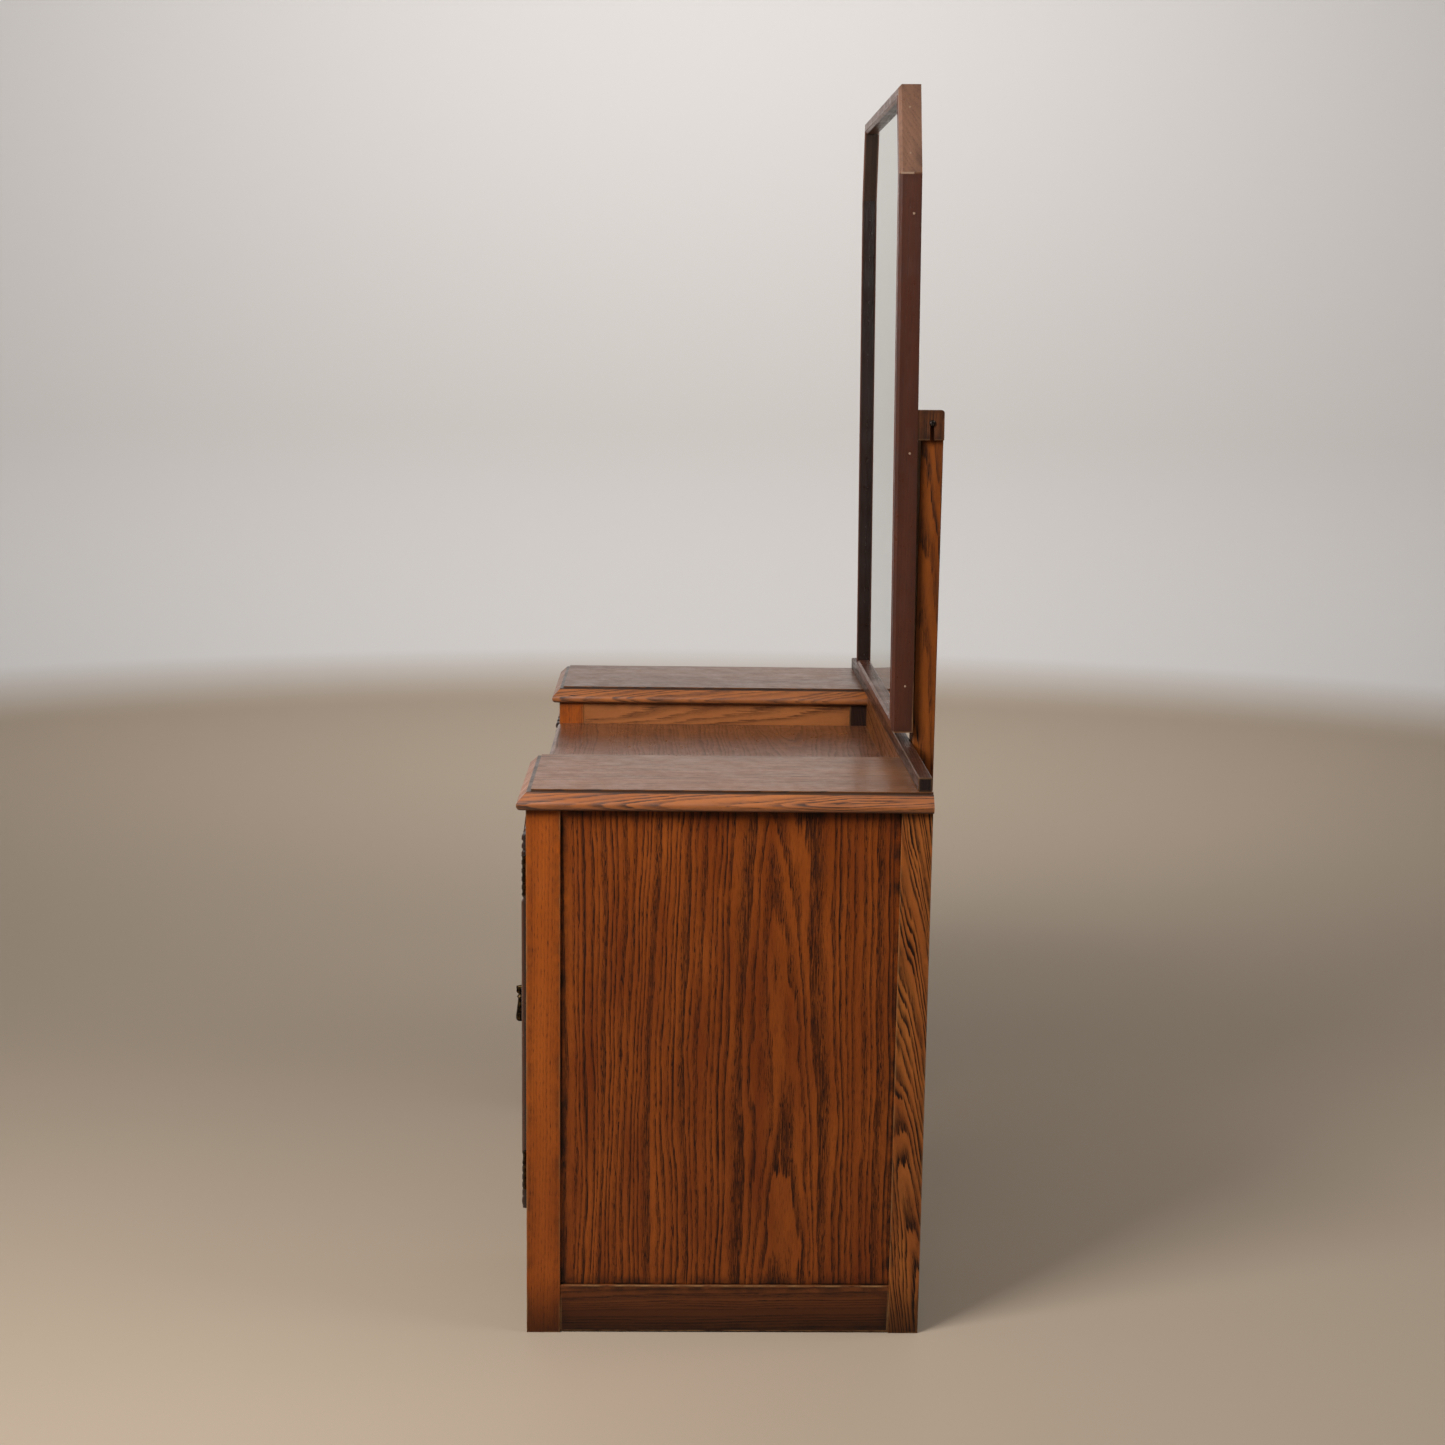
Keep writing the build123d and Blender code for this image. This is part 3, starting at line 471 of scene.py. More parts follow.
# The ends of the gallery rail are sawn across the grain: open pores drink the stain nearly black.
end_oak = oak("end_grain_gallery_rail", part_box("gallery_rail"), X, Y, "#1f1512", "#2a1c17", "#0f0907",
              ring=2.4, heart=(0, 30), seed=60, rough=0.6, wear=0.2, coat=0.0)
low_corner, high_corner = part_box("gallery_rail")
for side, sign in SIDES:
    cap_x = sorted((sign * high_corner.x, sign * (high_corner.x + 0.0003)))
    corners = [(x, y, z) for x in cap_x for y in (low_corner.y + 0.0006, high_corner.y - 0.0006)
               for z in (low_corner.z + 0.0004, high_corner.z - 0.0008)]
    cap_faces = [(0, 1, 3, 2), (4, 5, 7, 6), (0, 1, 5, 4), (2, 3, 7, 6), (0, 2, 6, 4), (1, 3, 7, 5)]
    piece(f"gallery_end_grain_{side}", (corners, cap_faces), end_oak, "carcass", smooth=False)


# ---------------------------------------------------------------- doors and hinges
# Each door is one oak board, hung on two butt hinges whose knuckles stand in front of the leg. Their
# brass has browned nearly black. The leaves are let in flush, held by three countersunk screws each.
hinge_brass = metal("aged_brass_hinge", "#30251a", "#5c4832", "#17110c", 0.42, 5.0)
screw_steel = metal("blued_steel_screw", "#2a2320", "#6a625c", "#1c110c", 0.4, 2.5)


def slotted_head(spot, axis, head_radius, head_height, slot_width, turn):
    """A round screw head in two halves either side of its slot, over the slot's floor."""
    way = Vector(axis).normalized()
    one = Matrix.Rotation(turn, 3, way) @ way.orthogonal().normalized()
    two = way.cross(one)
    made = [turned([(head_radius * 0.97, -0.0002), (head_radius * 0.97, head_height * 0.35)], spot, axis, 24)]
    steps, rows = 12, 5
    for half in (1, -1):
        points, faces = [], []
        for row in range(rows + 1):
            lift = head_height * (0.1 + 0.9 * math.sin(math.pi / 2 * row / rows))
            reach = head_radius * math.cos(math.pi / 2 * row / rows * 0.86)
            start = math.asin(min(0.98, slot_width / 2 / reach))
            for step in range(steps + 1):
                angle = start + (math.pi - 2 * start) * step / steps
                points.append(Vector(spot) + way * lift
                              + (one * math.cos(angle) + two * math.sin(angle) * half) * reach)
        across_row = steps + 1
        for row in range(rows):
            for step in range(steps):
                corner = row * across_row + step
                faces.append((corner, corner + 1, corner + across_row + 1, corner + across_row))
            faces.append((row * across_row, (row + 1) * across_row,
                          (row + 1) * across_row + steps, row * across_row + steps))
        faces.append(tuple(range(rows * across_row, (rows + 1) * across_row)))
        made.append((points, faces))
    return together(made)


hinge_screw_rows = (-0.018, 0.0, 0.018)
leg_screws = []
for side, sign in SIDES:
    odd = 0.5 - 0.5 * sign
    node = f"door_{side}"
    finish_with(node, oak(f"stained_oak_{node}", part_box(node), Z, Y, "#4a210e", "#5c2f15", "#200e06",
                          ring=5.0, heart=(-30, 60), climb=0.04, wander=20, seed=63 + odd * 2.2,
                          grime=0.5, wear=0.45))
    finish_with(f"door_hinge_leaves_{side}", hinge_brass)
    low_corner, high_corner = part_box(f"door_hinge_leaves_{side}")
    pin = Vector(joints[f"door_{side}_swing"]["pos_m"])
    screw_y = high_corner.y - 0.0075
    leaf_gap = 0.0002
    door_screws = []
    for middle_z in (low_corner.z + 0.025, high_corner.z - 0.025):
        for rise_z in hinge_screw_rows:
            door_screws.append(turned([(0.0019, -0.0001), (0.0017, 0.0001), (0.0004, 0.00012)],
                                      (pin.x - sign * leaf_gap, screw_y, middle_z + rise_z),
                                      (sign, 0, 0), 16))
            leg_screws.append(turned([(0.0019, -0.0001), (0.0017, 0.0001), (0.0004, 0.00012)],
                                     (pin.x + sign * leaf_gap, screw_y, middle_z + rise_z),
                                     (-sign, 0, 0), 16))
    piece(f"door_hinge_screws_{side}", together(door_screws), screw_steel, f"door_{side}")
finish_with("leg_hinge_leaves", hinge_brass)
piece("leg_hinge_screws", together(leg_screws), screw_steel, "carcass")


# ---------------------------------------------------------------- carved door panels
# An applied oak panel, carved by hand: five upright folds run between a crest and a foot of leaves
# with ribbed, curling lobes. Stained darker than the door, with wax left in the hollows.
CARVED_GROUND = 0.0048
LOBE = 0.0105


def leaf_relief(across, up, half_width, height):
    """Relief from 0 to 1 of one ribbed leaf, up from its root: lobes 10.5 mm apart off a mid rib."""
    share = min(1.0, max(0.0, up / height))
    spread = half_width * (0.62 + 0.38 * math.sin(math.pi * min(1.0, share * 0.8 + 0.12)))
    side = abs(across) / spread
    if side >= 1.0:
        return 0.0
    lobe_phase = (up - 0.55 * abs(across)) / LOBE
    lobe = abs(math.sin(math.pi * lobe_phase)) ** 0.6
    body = math.sqrt(1.0 - side ** 2.2)
    rib = math.exp(-(across / 0.0011) ** 2)
    vein = 0.10 * math.cos(2 * math.pi * 3 * lobe_phase) * side
    return max(0.0, body * (0.46 + 0.42 * lobe * min(1.0, side * 3.0)) + 0.16 * rib + vein * body)


def fold_relief(across, pitch, half_width):
    """Relief of the upright folds: a broad roll with a quirk and a thin bead on each side of it."""
    share = abs(across) / half_width
    roll = math.sqrt(max(0.0, 1.0 - (share / 0.82) ** 2)) if share < 0.82 else 0.0
    bead = math.exp(-((abs(across) - pitch / 2) / 0.0016) ** 2)
    return max(roll * 0.92, bead * 0.42)


def carved_mesh(low_corner, high_corner):
    """The carved face on a 1 mm grid, closed to the panel's back. It lies along X and Z, facing -Y."""
    width = high_corner.x - low_corner.x
    height = high_corner.z - low_corner.z
    rise = high_corner.y - low_corner.y - CARVED_GROUND
    columns, rows = 176, 486
    half_fold, crest, foot = 0.010, 0.083, 0.067
    pitch = (width - 2 * half_fold) / 4
    centres = [low_corner.x + half_fold + pitch * index for index in range(5)]
    points = []
    for row in range(rows + 1):
        share_z = row / rows
        for column in range(columns + 1):
            x = low_corner.x + width * column / columns
            nearest_fold = min(centres, key=lambda centre: abs(x - centre))
            between = min(abs(x - centre - pitch / 2) for centre in centres[:-1])
            off_fold = x - nearest_fold
            notch = 0.0052 * math.exp(-(between / 0.0052) ** 2)
            low_z = low_corner.z + notch
            high_z = high_corner.z - notch
            z = low_z + (high_z - low_z) * share_z
            up_crest = z - (high_corner.z - crest)
            down_foot = (low_corner.z + foot) - z
            relief = fold_relief(off_fold, pitch, half_fold)
            if up_crest > -0.004:
                tall = leaf_relief(off_fold, up_crest + 0.004, pitch * 0.53, crest)
                berry_gap = math.hypot(between, (up_crest - 0.012)) / 0.0062
                berry = math.sqrt(max(0.0, 1 - berry_gap ** 2)) * 0.7
                ease = min(1.0, (up_crest + 0.004) / 0.010)
                relief = max(relief * (1 - ease), tall * ease, berry)
                tip = max(0.0, (up_crest - crest + 2 * LOBE) / LOBE)
                relief *= 1.0 - 0.22 * abs(math.cos(math.pi * tip)) ** 3 if tip > 0 else 1.0
            if down_foot > -0.004:
                low_leaf = leaf_relief(off_fold, down_foot + 0.004, pitch * 0.53, foot)
                ease = min(1.0, (down_foot + 0.004) / 0.010)
                relief = max(relief * (1 - ease), low_leaf * ease)
                if z - low_corner.z < 0.017:
                    plinth_roll = math.sin(math.pi * min(1.0, (z - low_corner.z) / 0.017)) ** 0.4
                    swell = 0.55 + 0.40 * math.cos(math.pi * off_fold / pitch)
                    relief = max(relief * 0.9, plinth_roll * swell)
            border = min(x - low_corner.x, high_corner.x - x)
            rounding = min(1.0, border / 0.0016)
            y = high_corner.y - CARVED_GROUND * (0.55 + 0.45 * rounding) - rise * min(1.0, relief)
            points.append(Vector((x, y, z)))
    across_row = columns + 1
    faces = []
    for row in range(rows):
        for column in range(columns):
            corner = row * across_row + column
            faces.append((corner, corner + 1, corner + across_row + 1, corner + across_row))
    rim = (list(range(across_row))
           + [row * across_row + columns for row in range(1, rows + 1)]
           + [rows * across_row + column for column in range(columns - 1, -1, -1)]
           + [row * across_row for row in range(rows - 1, 0, -1)])
    back_start = len(points)
    points += [Vector((points[index].x, high_corner.y, points[index].z)) for index in rim]
    for index in range(len(rim)):
        after = (index + 1) % len(rim)
        faces.append((rim[index], rim[after], back_start + after, back_start + index))
    faces.append(tuple(range(back_start, back_start + len(rim))))
    return points, faces


def carved_oak(name, low_corner, high_corner, seed):
    """Dark stained carving: bright on the high parts where dusting rubs it, wax-black in hollows."""
    material = oak(name, (low_corner, high_corner), Z, Y, "#432111", "#522b18", "#1b0f09", ring=6.0,
                   heart=(20, 60), climb=0.04, wander=16, seed=seed, strength=0.5, rough=0.30,
                   grime=0.3, wear=0.0, gloss=0.4, coat=0.2)
    tree, shader, before, place = reopen(material)
    axes = add_node(tree, "ShaderNodeSeparateXYZ", {0: place}).outputs
    # The leaves of the crest and foot are stained nearly black, the folds between them are not.
    crest_near = add_node(tree, "ShaderNodeMapRange", {"Value": axes["Z"], "From Min": high_corner.z - 0.095,
                                                       "From Max": high_corner.z - 0.075})
    foot_near = add_node(tree, "ShaderNodeMapRange", {"Value": axes["Z"], "From Min": low_corner.z + 0.076,
                                                      "From Max": low_corner.z + 0.060})
    leafy = add_node(tree, "ShaderNodeMath", {0: crest_near, 1: foot_near}, operation="MAXIMUM")
    leaf_share = add_node(tree, "ShaderNodeMath", {0: leafy, 1: 0.6}, operation="MULTIPLY")
    stained = add_node(tree, "ShaderNodeMix", {0: leaf_share, 6: before, 7: linear("#20140f")},
                       data_type="RGBA").outputs[2]
    hollow = add_node(tree, "ShaderNodeMapRange",
                      {"Value": axes["Y"], "From Min": low_corner.y + 0.0022,
                       "From Max": high_corner.y - CARVED_GROUND, "To Min": 0.0, "To Max": 0.9},
                      interpolation_type="SMOOTHSTEP")
    waxed = add_node(tree, "ShaderNodeMix", {0: hollow, 6: stained, 7: linear("#120c0a")},
                     data_type="RGBA").outputs[2]
    tree.links.new(waxed, shader.inputs["Base Color"])
    return material


for side, sign in SIDES:
    low_corner, high_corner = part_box(f"carved_panel_{side}")
    surface = carved_oak(f"dark_carved_oak_{side}", low_corner, high_corner, 70 + sign)
    carved = piece(f"carving_{side}", carved_mesh(low_corner, high_corner), surface,
                   f"door_{side}")
    carved.data.set_sharp_from_angle(angle=math.radians(70))
    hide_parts(f"carved_panel_{side}")


# ---------------------------------------------------------------- drop handles
# Cast brass, oxidised nearly black: a shaped backplate held by two round-headed pins, a hood over
# the pivot pin between two cheeks, and a turned pear drop that hangs from the pin by its eye.
handle_brass = metal("oxidised_cast_brass", "#1d1713", "#6f5630", "#0d0a09", 0.36, 6.0)


def plate_mesh(middle, half_width, half_height, thickness):
    """The backplate: waisted sides and a small point at each end, its rim rounded over."""
    outline = []
    steps = 64
    for step in range(steps):
        angle = 2 * math.pi * step / steps
        up = math.sin(angle)
        across = math.cos(angle)
        waist = 0.72 + 0.28 * math.cos(2 * math.pi * up * 0.9) ** 2
        round_end = math.copysign(abs(across) ** 0.7, across)
        outline.append((half_width * round_end * waist, half_height * math.copysign(abs(up) ** 0.9, up)))
    points, faces = [], []
    for shrink, lift in ((1.0, 0.0), (1.0, 0.55), (0.93, 0.85), (0.82, 1.0)):
        points += [Vector((middle[0] + across * shrink, middle[1] - thickness * lift,
                           middle[2] + up - up * (1 - shrink) * half_width / half_height))
                   for across, up in outline]
    for level in range(3):
        for step in range(steps):
            after = (step + 1) % steps
            faces.append((level * steps + step, level * steps + after,
                          (level + 1) * steps + after, (level + 1) * steps + step))
    faces.append(tuple(range(3 * steps, 4 * steps)))
    faces.append(tuple(range(steps)))
    return points, faces


def cheek_mesh(x_low, x_high, pin, face_y, top_z):
    """A cheek or the hood: a plate cast out from the backplate to a rounded nose round the pin."""
    outline = [(face_y, pin.z - 0.0050), (face_y, top_z)]
    for step in range(9):
        angle = math.radians(100 - 190 * step / 8)
        outline.append((pin.y - 0.0050 * math.cos(angle), pin.z + 0.0050 * math.sin(angle)))
    count = len(outline)
    points = [Vector((x, y, z)) for x in (x_low, x_high) for y, z in outline]
    faces = [(index, (index + 1) % count, count + (index + 1) % count, count + index)
             for index in range(count)]
    faces += [tuple(range(count)), tuple(range(count, 2 * count))]
    return points, faces


def hood_mesh(middle_x, face_y, pin, top_z):
    """The hood: a small roof that slopes out from the top of the plate to a point over the pin."""
    rows = []
    for step in range(9):
        share = step / 8
        y = face_y + (pin.y - 0.0052 - face_y) * share
        crown = top_z - 0.0042 * share ** 1.4
        half = 0.0058 * math.sqrt(max(0.02, 1.0 - share ** 2.4))
        row = []
        for side_step in range(9):
            angle = math.pi * side_step / 8
            row.append(Vector((middle_x - half * math.cos(angle), y,
                               crown - 0.0030 * (1 - math.sin(angle)))))
        rows.append(row)
    points = [point for row in rows for point in row]
    points += [point - Vector((0, 0, 0.0012)) for row in rows for point in row]
    faces, layer = [], 81
    for row in range(8):
        for column in range(8):
            corner = row * 9 + column
            faces.append((corner, corner + 1, corner + 10, corner + 9))
            faces.append((layer + corner, layer + corner + 1, layer + corner + 10, layer + corner + 9))
    for row in range(8):
        for corner in (row * 9, row * 9 + 8):
            faces.append((corner, corner + 9, layer + corner + 9, layer + corner))
    for column in range(8):
        for corner in (column, 72 + column):
            faces.append((corner, corner + 1, layer + corner + 1, layer + corner))
    return points, faces


# Outline of the drop below its pin: eye, neck, two small beads and a pear flared to the bottom.
drop_outline = [(0.0003, -0.0022), (0.0016, -0.0026), (0.0018, -0.0056), (0.0028, -0.0066),
                (0.0040, -0.0085), (0.0044, -0.0095), (0.0040, -0.0105), (0.0030, -0.0112),
                (0.0030, -0.0124), (0.0034, -0.0152), (0.0039, -0.0196), (0.0045, -0.0244),
                (0.0050, -0.0292), (0.0057, -0.0336), (0.0060, -0.0370), (0.0059, -0.0393),
                (0.0053, -0.0412), (0.0040, -0.0424), (0.0022, -0.0429), (0.0003, -0.0430)]


def drop_handle(label, drop_node, plate_body, drop_body, pin):
    """Plate, pins, cheeks, hood and pivot pin on one body, and the pear drop on its own body."""
    door_face = pin.y + 0.022
    middle_z = pin.z + 0.0095 - 0.024
    parts = [plate_mesh((pin.x, door_face, middle_z), 0.008, 0.024, 0.002)]
    for cheek_side in (-1, 1):
        inner = pin.x + cheek_side * 0.0024
        outer_x = pin.x + cheek_side * 0.0045
        parts.append(cheek_mesh(min(inner, outer_x), max(inner, outer_x), pin, door_face - 0.0015,
                                pin.z + 0.0078))
    parts.append(hood_mesh(pin.x, door_face - 0.0010, pin, pin.z + 0.0094))
    parts.append(turned([(0.0013, -0.0052), (0.0020, -0.0050), (0.0020, -0.0045), (0.0013, -0.0044),
                         (0.0013, 0.0044), (0.0020, 0.0045), (0.0020, 0.0050), (0.0013, 0.0052)],
                        pin, (1, 0, 0), 16))
    for pin_z in (middle_z + 0.0205, middle_z - 0.0205):
        parts.append(turned([(0.0016, 0.0015), (0.0017, 0.0024), (0.0013, 0.0030), (0.0004, 0.0033)],
                            (pin.x, door_face, pin_z), (0, -1, 0), 16))
    plate = piece(f"handle_{label}_plate", together(parts), handle_brass, plate_body)
    eye = turned([(0.0014, -0.0019), (0.0030, -0.0019), (0.0036, -0.0012), (0.0036, 0.0012),
                  (0.0030, 0.0019), (0.0014, 0.0019), (0.0014, -0.0019)], pin, (1, 0, 0), 24,
                 capped=False)
    pear = turned(drop_outline, pin, (0, 0, 1), 28)
    drop = piece(f"handle_{label}_drop", together([eye, pear]), handle_brass, drop_body)
    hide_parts(drop_node)
    return plate


for side, sign in SIDES:
    pin = Vector(joints[f"door_drop_{side}_swing"]["pos_m"])
    plate = drop_handle(f"door_{side}", f"handle_drop_{side}", f"door_{side}", f"drop_door_{side}", pin)
    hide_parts(f"handle_plate_{side}")
for side, sign in SIDES:
    pin = Vector(joints[f"drawer_drop_{side}_swing"]["pos_m"])
    drop_handle(f"drawer_{side}", f"drawer_drop_{side}", "drawer",
                                     f"drop_drawer_{side}", pin)
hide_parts("drawer_handle_plates")


# ---------------------------------------------------------------- drawer
# An oak front on sides, back and bottom of plain unpolished wood. The sides run on the runners and
# the thin bottom sits in grooves.
finish_with("drawer_front", oak("stained_oak_drawer_front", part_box("drawer_front"), X, Y, "#6f3c1d",
                                "#86502a", "#331a0c", ring=5.4, heart=(10, 52), climb=0.06, wander=26,
                                seed=81, grime=0.45, wear=0.5))
for node, grain, flat, seed in (("drawer_sides", Y, X, 83), ("drawer_back", X, Y, 85),
                                ("drawer_bottom", X, Z, 87)):
    finish_with(node, oak(f"plain_board_{node}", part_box(node), grain, flat, "#a1784c", "#b58a5a",
                          "#765433", ring=4.5, heart=(0, 60), climb=0.03, wander=16, seed=seed,
                          strength=0.45, rough=0.6, grime=0.3, wear=0.0, coat=0.0))


# ---------------------------------------------------------------- posts and pivot screws
# Two oak posts are screwed to the back board. Each takes a steel screw through the mirror's ear;
# its round slotted head nips the ear against the post and holds the mirror at any angle.
for side, sign in SIDES:
    odd = 0.5 - 0.5 * sign
    node = f"mirror_post_{side}"
    finish_with(node, oak(f"figured_oak_{node}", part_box(node), Z, X, "#65300f", "#87481a", "#1e0c04",
                          ring=4.2, heart=(-16 * sign, 24), climb=0.04, wander=22, ragged=1.8,
                          seed=91 + odd * 3, strength=1.0, grime=0.4, wear=0.2))
low_corner, high_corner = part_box("pivot_screws")
pivot = Vector(joints["mirror_tilt"]["pos_m"])
head_x = high_corner.x - 0.0026
for side, sign in SIDES:
    shank = turned([(0.0027, -0.0298), (0.0027, 0.0)], (sign * head_x, pivot.y, pivot.z), (sign, 0, 0), 24)
    head = slotted_head((sign * head_x, pivot.y, pivot.z), (sign, 0, 0), 0.0040, 0.0026, 0.0011, 0.6)
    screw = piece(f"pivot_screw_{side}", together([shank, head]), screw_steel, "carcass")
    if sign == 1:
        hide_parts("pivot_screws")


# ---------------------------------------------------------------- mirror frame
# Six lengths of oak moulding, mitred and glued, stained redder than the table, with a small bead
# at the sight edge. Filled nail holes show as pale dots. An ear on each stile hangs on its screw.
CANT = (0.0305, 0.111)
FACE = 0.018
red_oak = dict(dark="#2a130c", ring=3.4, climb=0.02, wander=10, strength=0.22, rough=0.34, grime=0.5,
               wear=0.35, gloss=0.35, coat=0.15)
for side, sign in SIDES:
    odd = 0.5 - 0.5 * sign
    node = f"mirror_stile_{side}"
    finish_with(node, oak(f"red_stained_oak_{node}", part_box(node), Z, X, "#3f2015", "#4c281b",
                          heart=(60, 40), seed=101 + odd * 2, **red_oak))
    node = f"mirror_cant_{side}"
    finish_with(node, oak(f"red_stained_oak_{node}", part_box(node), Z, X, "#654636", "#7b5844",
                          heart=(40, 50), seed=105 + odd * 2, tilt=0.26 * sign, **red_oak))

# The reveal against the glass is coloured nearly black on stiles and cants: painted shade in the rebate.
cant_slope = math.hypot(*CANT)
mirror_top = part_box("mirror_top_rail")[1].z
half_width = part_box("mirror_stile_right")[1].x
cant_outward = (CANT[1] / cant_slope, 0, CANT[0] / cant_slope)
cant_reach = (half_width * CANT[1] + (mirror_top - CANT[1]) * CANT[0]) / cant_slope
for side, sign in SIDES:
    for node, outward, reach in ((f"mirror_stile_{side}", (1, 0, 0), half_width),
                                 (f"mirror_cant_{side}", cant_outward, cant_reach)):
        tree, shader, before, place = reopen(frame["nodes"][node].data.materials[0])
        mirrored = add_node(tree, "ShaderNodeVectorMath", {0: place, 1: (sign, 1, 1)}, operation="MULTIPLY")
        distance = add_node(tree, "ShaderNodeVectorMath", {0: mirrored, 1: outward}, operation="DOT_PRODUCT")
        # Painted shade: from 15.5 mm in from the outside edge, darkening fully by 17 mm, the reveal is made
        # nearly black.
        reveal = add_node(tree, "ShaderNodeMapRange", {"Value": distance.outputs["Value"],
                                                       "From Min": reach - 0.0155, "From Max": reach - 0.0170,
                                                       "To Min": 0.0, "To Max": 0.85})
        inside = add_node(tree, "ShaderNodeMix", {0: reveal, 6: before, 7: linear("#140c09")},
                          data_type="RGBA")
        tree.links.new(inside.outputs[2], shader.inputs["Base Color"])
for node, seed in (("mirror_top_rail", 109), ("mirror_bottom_rail", 111)):
    finish_with(node, oak(f"red_stained_oak_{node}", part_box(node), X, Z, "#4f2a1c", "#623624",
                          heart=(50, 40), seed=seed, **red_oak))
finish_with("mirror_ears", oak("brown_stained_oak_mirror_ears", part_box("mirror_ears"), Z, X, "#4a2a19",
                               "#5e371f", "#1f1008", ring=4.0, heart=(280, 60), climb=0.05, wander=14,
                               seed=113, grime=0.7, wear=0.1))

# The sight bead follows the inside of the frame, a half round 3 mm wide on the front face.
lean = math.radians(0.66)


def leaned_point(x, y, z):
    """A point of the upright mirror turned to its resting lean about the pivot."""
    return Matrix.Rotation(lean, 3, "X") @ (Vector((x, y, z)) - pivot) + pivot


MIRROR_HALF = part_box("mirror_stile_right")[1].x
MIRROR_LOW = pivot.z - 0.4047
MIRROR_HIGH = MIRROR_LOW + 0.8295
MIRROR_FRONT = pivot.y - 0.0472


def mirror_outline(inset):
    """The six corners of the mirror, set in by a distance from its outside."""
    slope = math.hypot(*CANT)
    top_corner = inset * (slope - CANT[0]) / CANT[1]
    side_corner = inset * (slope - CANT[1]) / CANT[0]
    half = MIRROR_HALF - inset
    return [(-half, MIRROR_LOW + inset), (half, MIRROR_LOW + inset),
            (half, MIRROR_HIGH - CANT[1] - side_corner),
            (MIRROR_HALF - CANT[0] - top_corner, MIRROR_HIGH - inset),
            (-(MIRROR_HALF - CANT[0] - top_corner), MIRROR_HIGH - inset),
            (-half, MIRROR_HIGH - CANT[1] - side_corner)]


bead_points, bead_faces = [], []
arc_steps = 8
for step in range(arc_steps + 1):
    angle = math.pi * step / arc_steps
    ring_inset = FACE - 0.0040 + 0.0015 * math.cos(angle)
    proud = 0.0011 * math.sin(angle) - 0.0002
    bead_points += [leaned_point(x, MIRROR_FRONT - proud, z) for x, z in mirror_outline(ring_inset)]
for step in range(arc_steps):
    for corner in range(6):
        after = (corner + 1) % 6
        bead_faces.append((step * 6 + corner, step * 6 + after,
                           (step + 1) * 6 + after, (step + 1) * 6 + corner))
for corner in range(6):
    after = (corner + 1) % 6
    bead_faces.append((corner, after, arc_steps * 6 + after, arc_steps * 6 + corner))
bead_oak = oak("red_stained_oak_bead", (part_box("mirror_bottom_rail")[0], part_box("mirror_top_rail")[1]), Z, X,
               "#4b261a", "#5f3524", heart=(60, 40), seed=117, **{**red_oak, "wear": 0.0, "grime": 0.0})
piece("mirror_sight_bead", (bead_points, bead_faces), bead_oak, "mirror")

# Wood filler over the nails of the joints, dried paler than the stain: dots 3 mm across.
filler = bpy.data.materials.new("dried_wood_filler")
filler.use_nodes = True
filler_shader = filler.node_tree.nodes["Principled BSDF"]
filler_spots = add_node(filler.node_tree, "ShaderNodeTexNoise", {"Scale": 1500.0, "Detail": 3.0})
filler_mix = add_node(filler.node_tree, "ShaderNodeMix",
                      {0: filler_spots, 6: linear("#9b8069"), 7: linear("#6e503c")}, data_type="RGBA")
filler.node_tree.links.new(filler_mix.outputs[2], filler_shader.inputs["Base Color"])
filler_shader.inputs["Roughness"].default_value = 0.75
dots = []
for side, sign in SIDES:
    for rise in (0.062, 0.366, 0.668):
        spot = leaned_point(sign * MIRROR_HALF, MIRROR_FRONT + 0.015 + 0.004 * math.sin(40 * rise),
                            MIRROR_LOW + rise)
        dots.append(turned([(0.0016, -0.0003), (0.0015, 0.00006), (0.0007, 0.00009)], spot, (sign, 0, 0), 14))
    cant_out = Vector((sign * CANT[1], 0, CANT[0])).normalized()
    for share in (0.22, 0.74):
        spot = leaned_point(sign * (MIRROR_HALF - CANT[0] * share), MIRROR_FRONT + 0.014,
                            MIRROR_HIGH - CANT[1] * (1 - share))
        dots.append(turned([(0.0013, -0.0003), (0.0012, 0.00006), (0.0005, 0.00009)], spot, cant_out, 14))
piece("mirror_filled_nail_holes", together(dots), filler, "mirror")

# A painted highlight in the filler's pale colour marks the mitre between each stile and its cant, a line 2.4 mm
# high.
joint_highlights = []
for side, sign in SIDES:
    corners = [leaned_point(sign * x, MIRROR_FRONT + y, MIRROR_HIGH - CANT[1] + z)
               for x in (MIRROR_HALF - 0.0005, MIRROR_HALF + 0.0001) for y in (0.0015, 0.0185)
               for z in (-0.0018, 0.0006)]
    joint_highlights.append((corners, cap_faces))
piece("mirror_joint_highlight", together(joint_highlights), filler, "mirror", smooth=False)


# ---------------------------------------------------------------- mirror glass and backboard
# Plate glass silvered on its back, in the rebate of the frame, with a thin ply backboard nailed
# behind it. The silvering has begun to go grey in specks along its edges.
silvered = bpy.data.materials.new("silvered_plate_glass")
silvered.use_nodes = True
silver_tree = silvered.node_tree
silver = silver_tree.nodes["Principled BSDF"]
silver_place = add_node(silver_tree, "ShaderNodeTexCoord").outputs["Object"]
specks = add_node(silver_tree, "ShaderNodeTexNoise",
                  {"Vector": silver_place, "Scale": 1000 / 9, "Detail": 5.0, "Roughness": 0.7})
glass_low, glass_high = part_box("mirror_glass")
to_low = add_node(silver_tree, "ShaderNodeVectorMath", {0: silver_place, 1: glass_low}, operation="SUBTRACT")
to_high = add_node(silver_tree, "ShaderNodeVectorMath", {0: glass_high, 1: silver_place},
                   operation="SUBTRACT")
to_edge = add_node(silver_tree, "ShaderNodeVectorMath", {0: to_low, 1: to_high}, operation="MINIMUM")
edge_axes = add_node(silver_tree, "ShaderNodeSeparateXYZ", {0: to_edge}).outputs
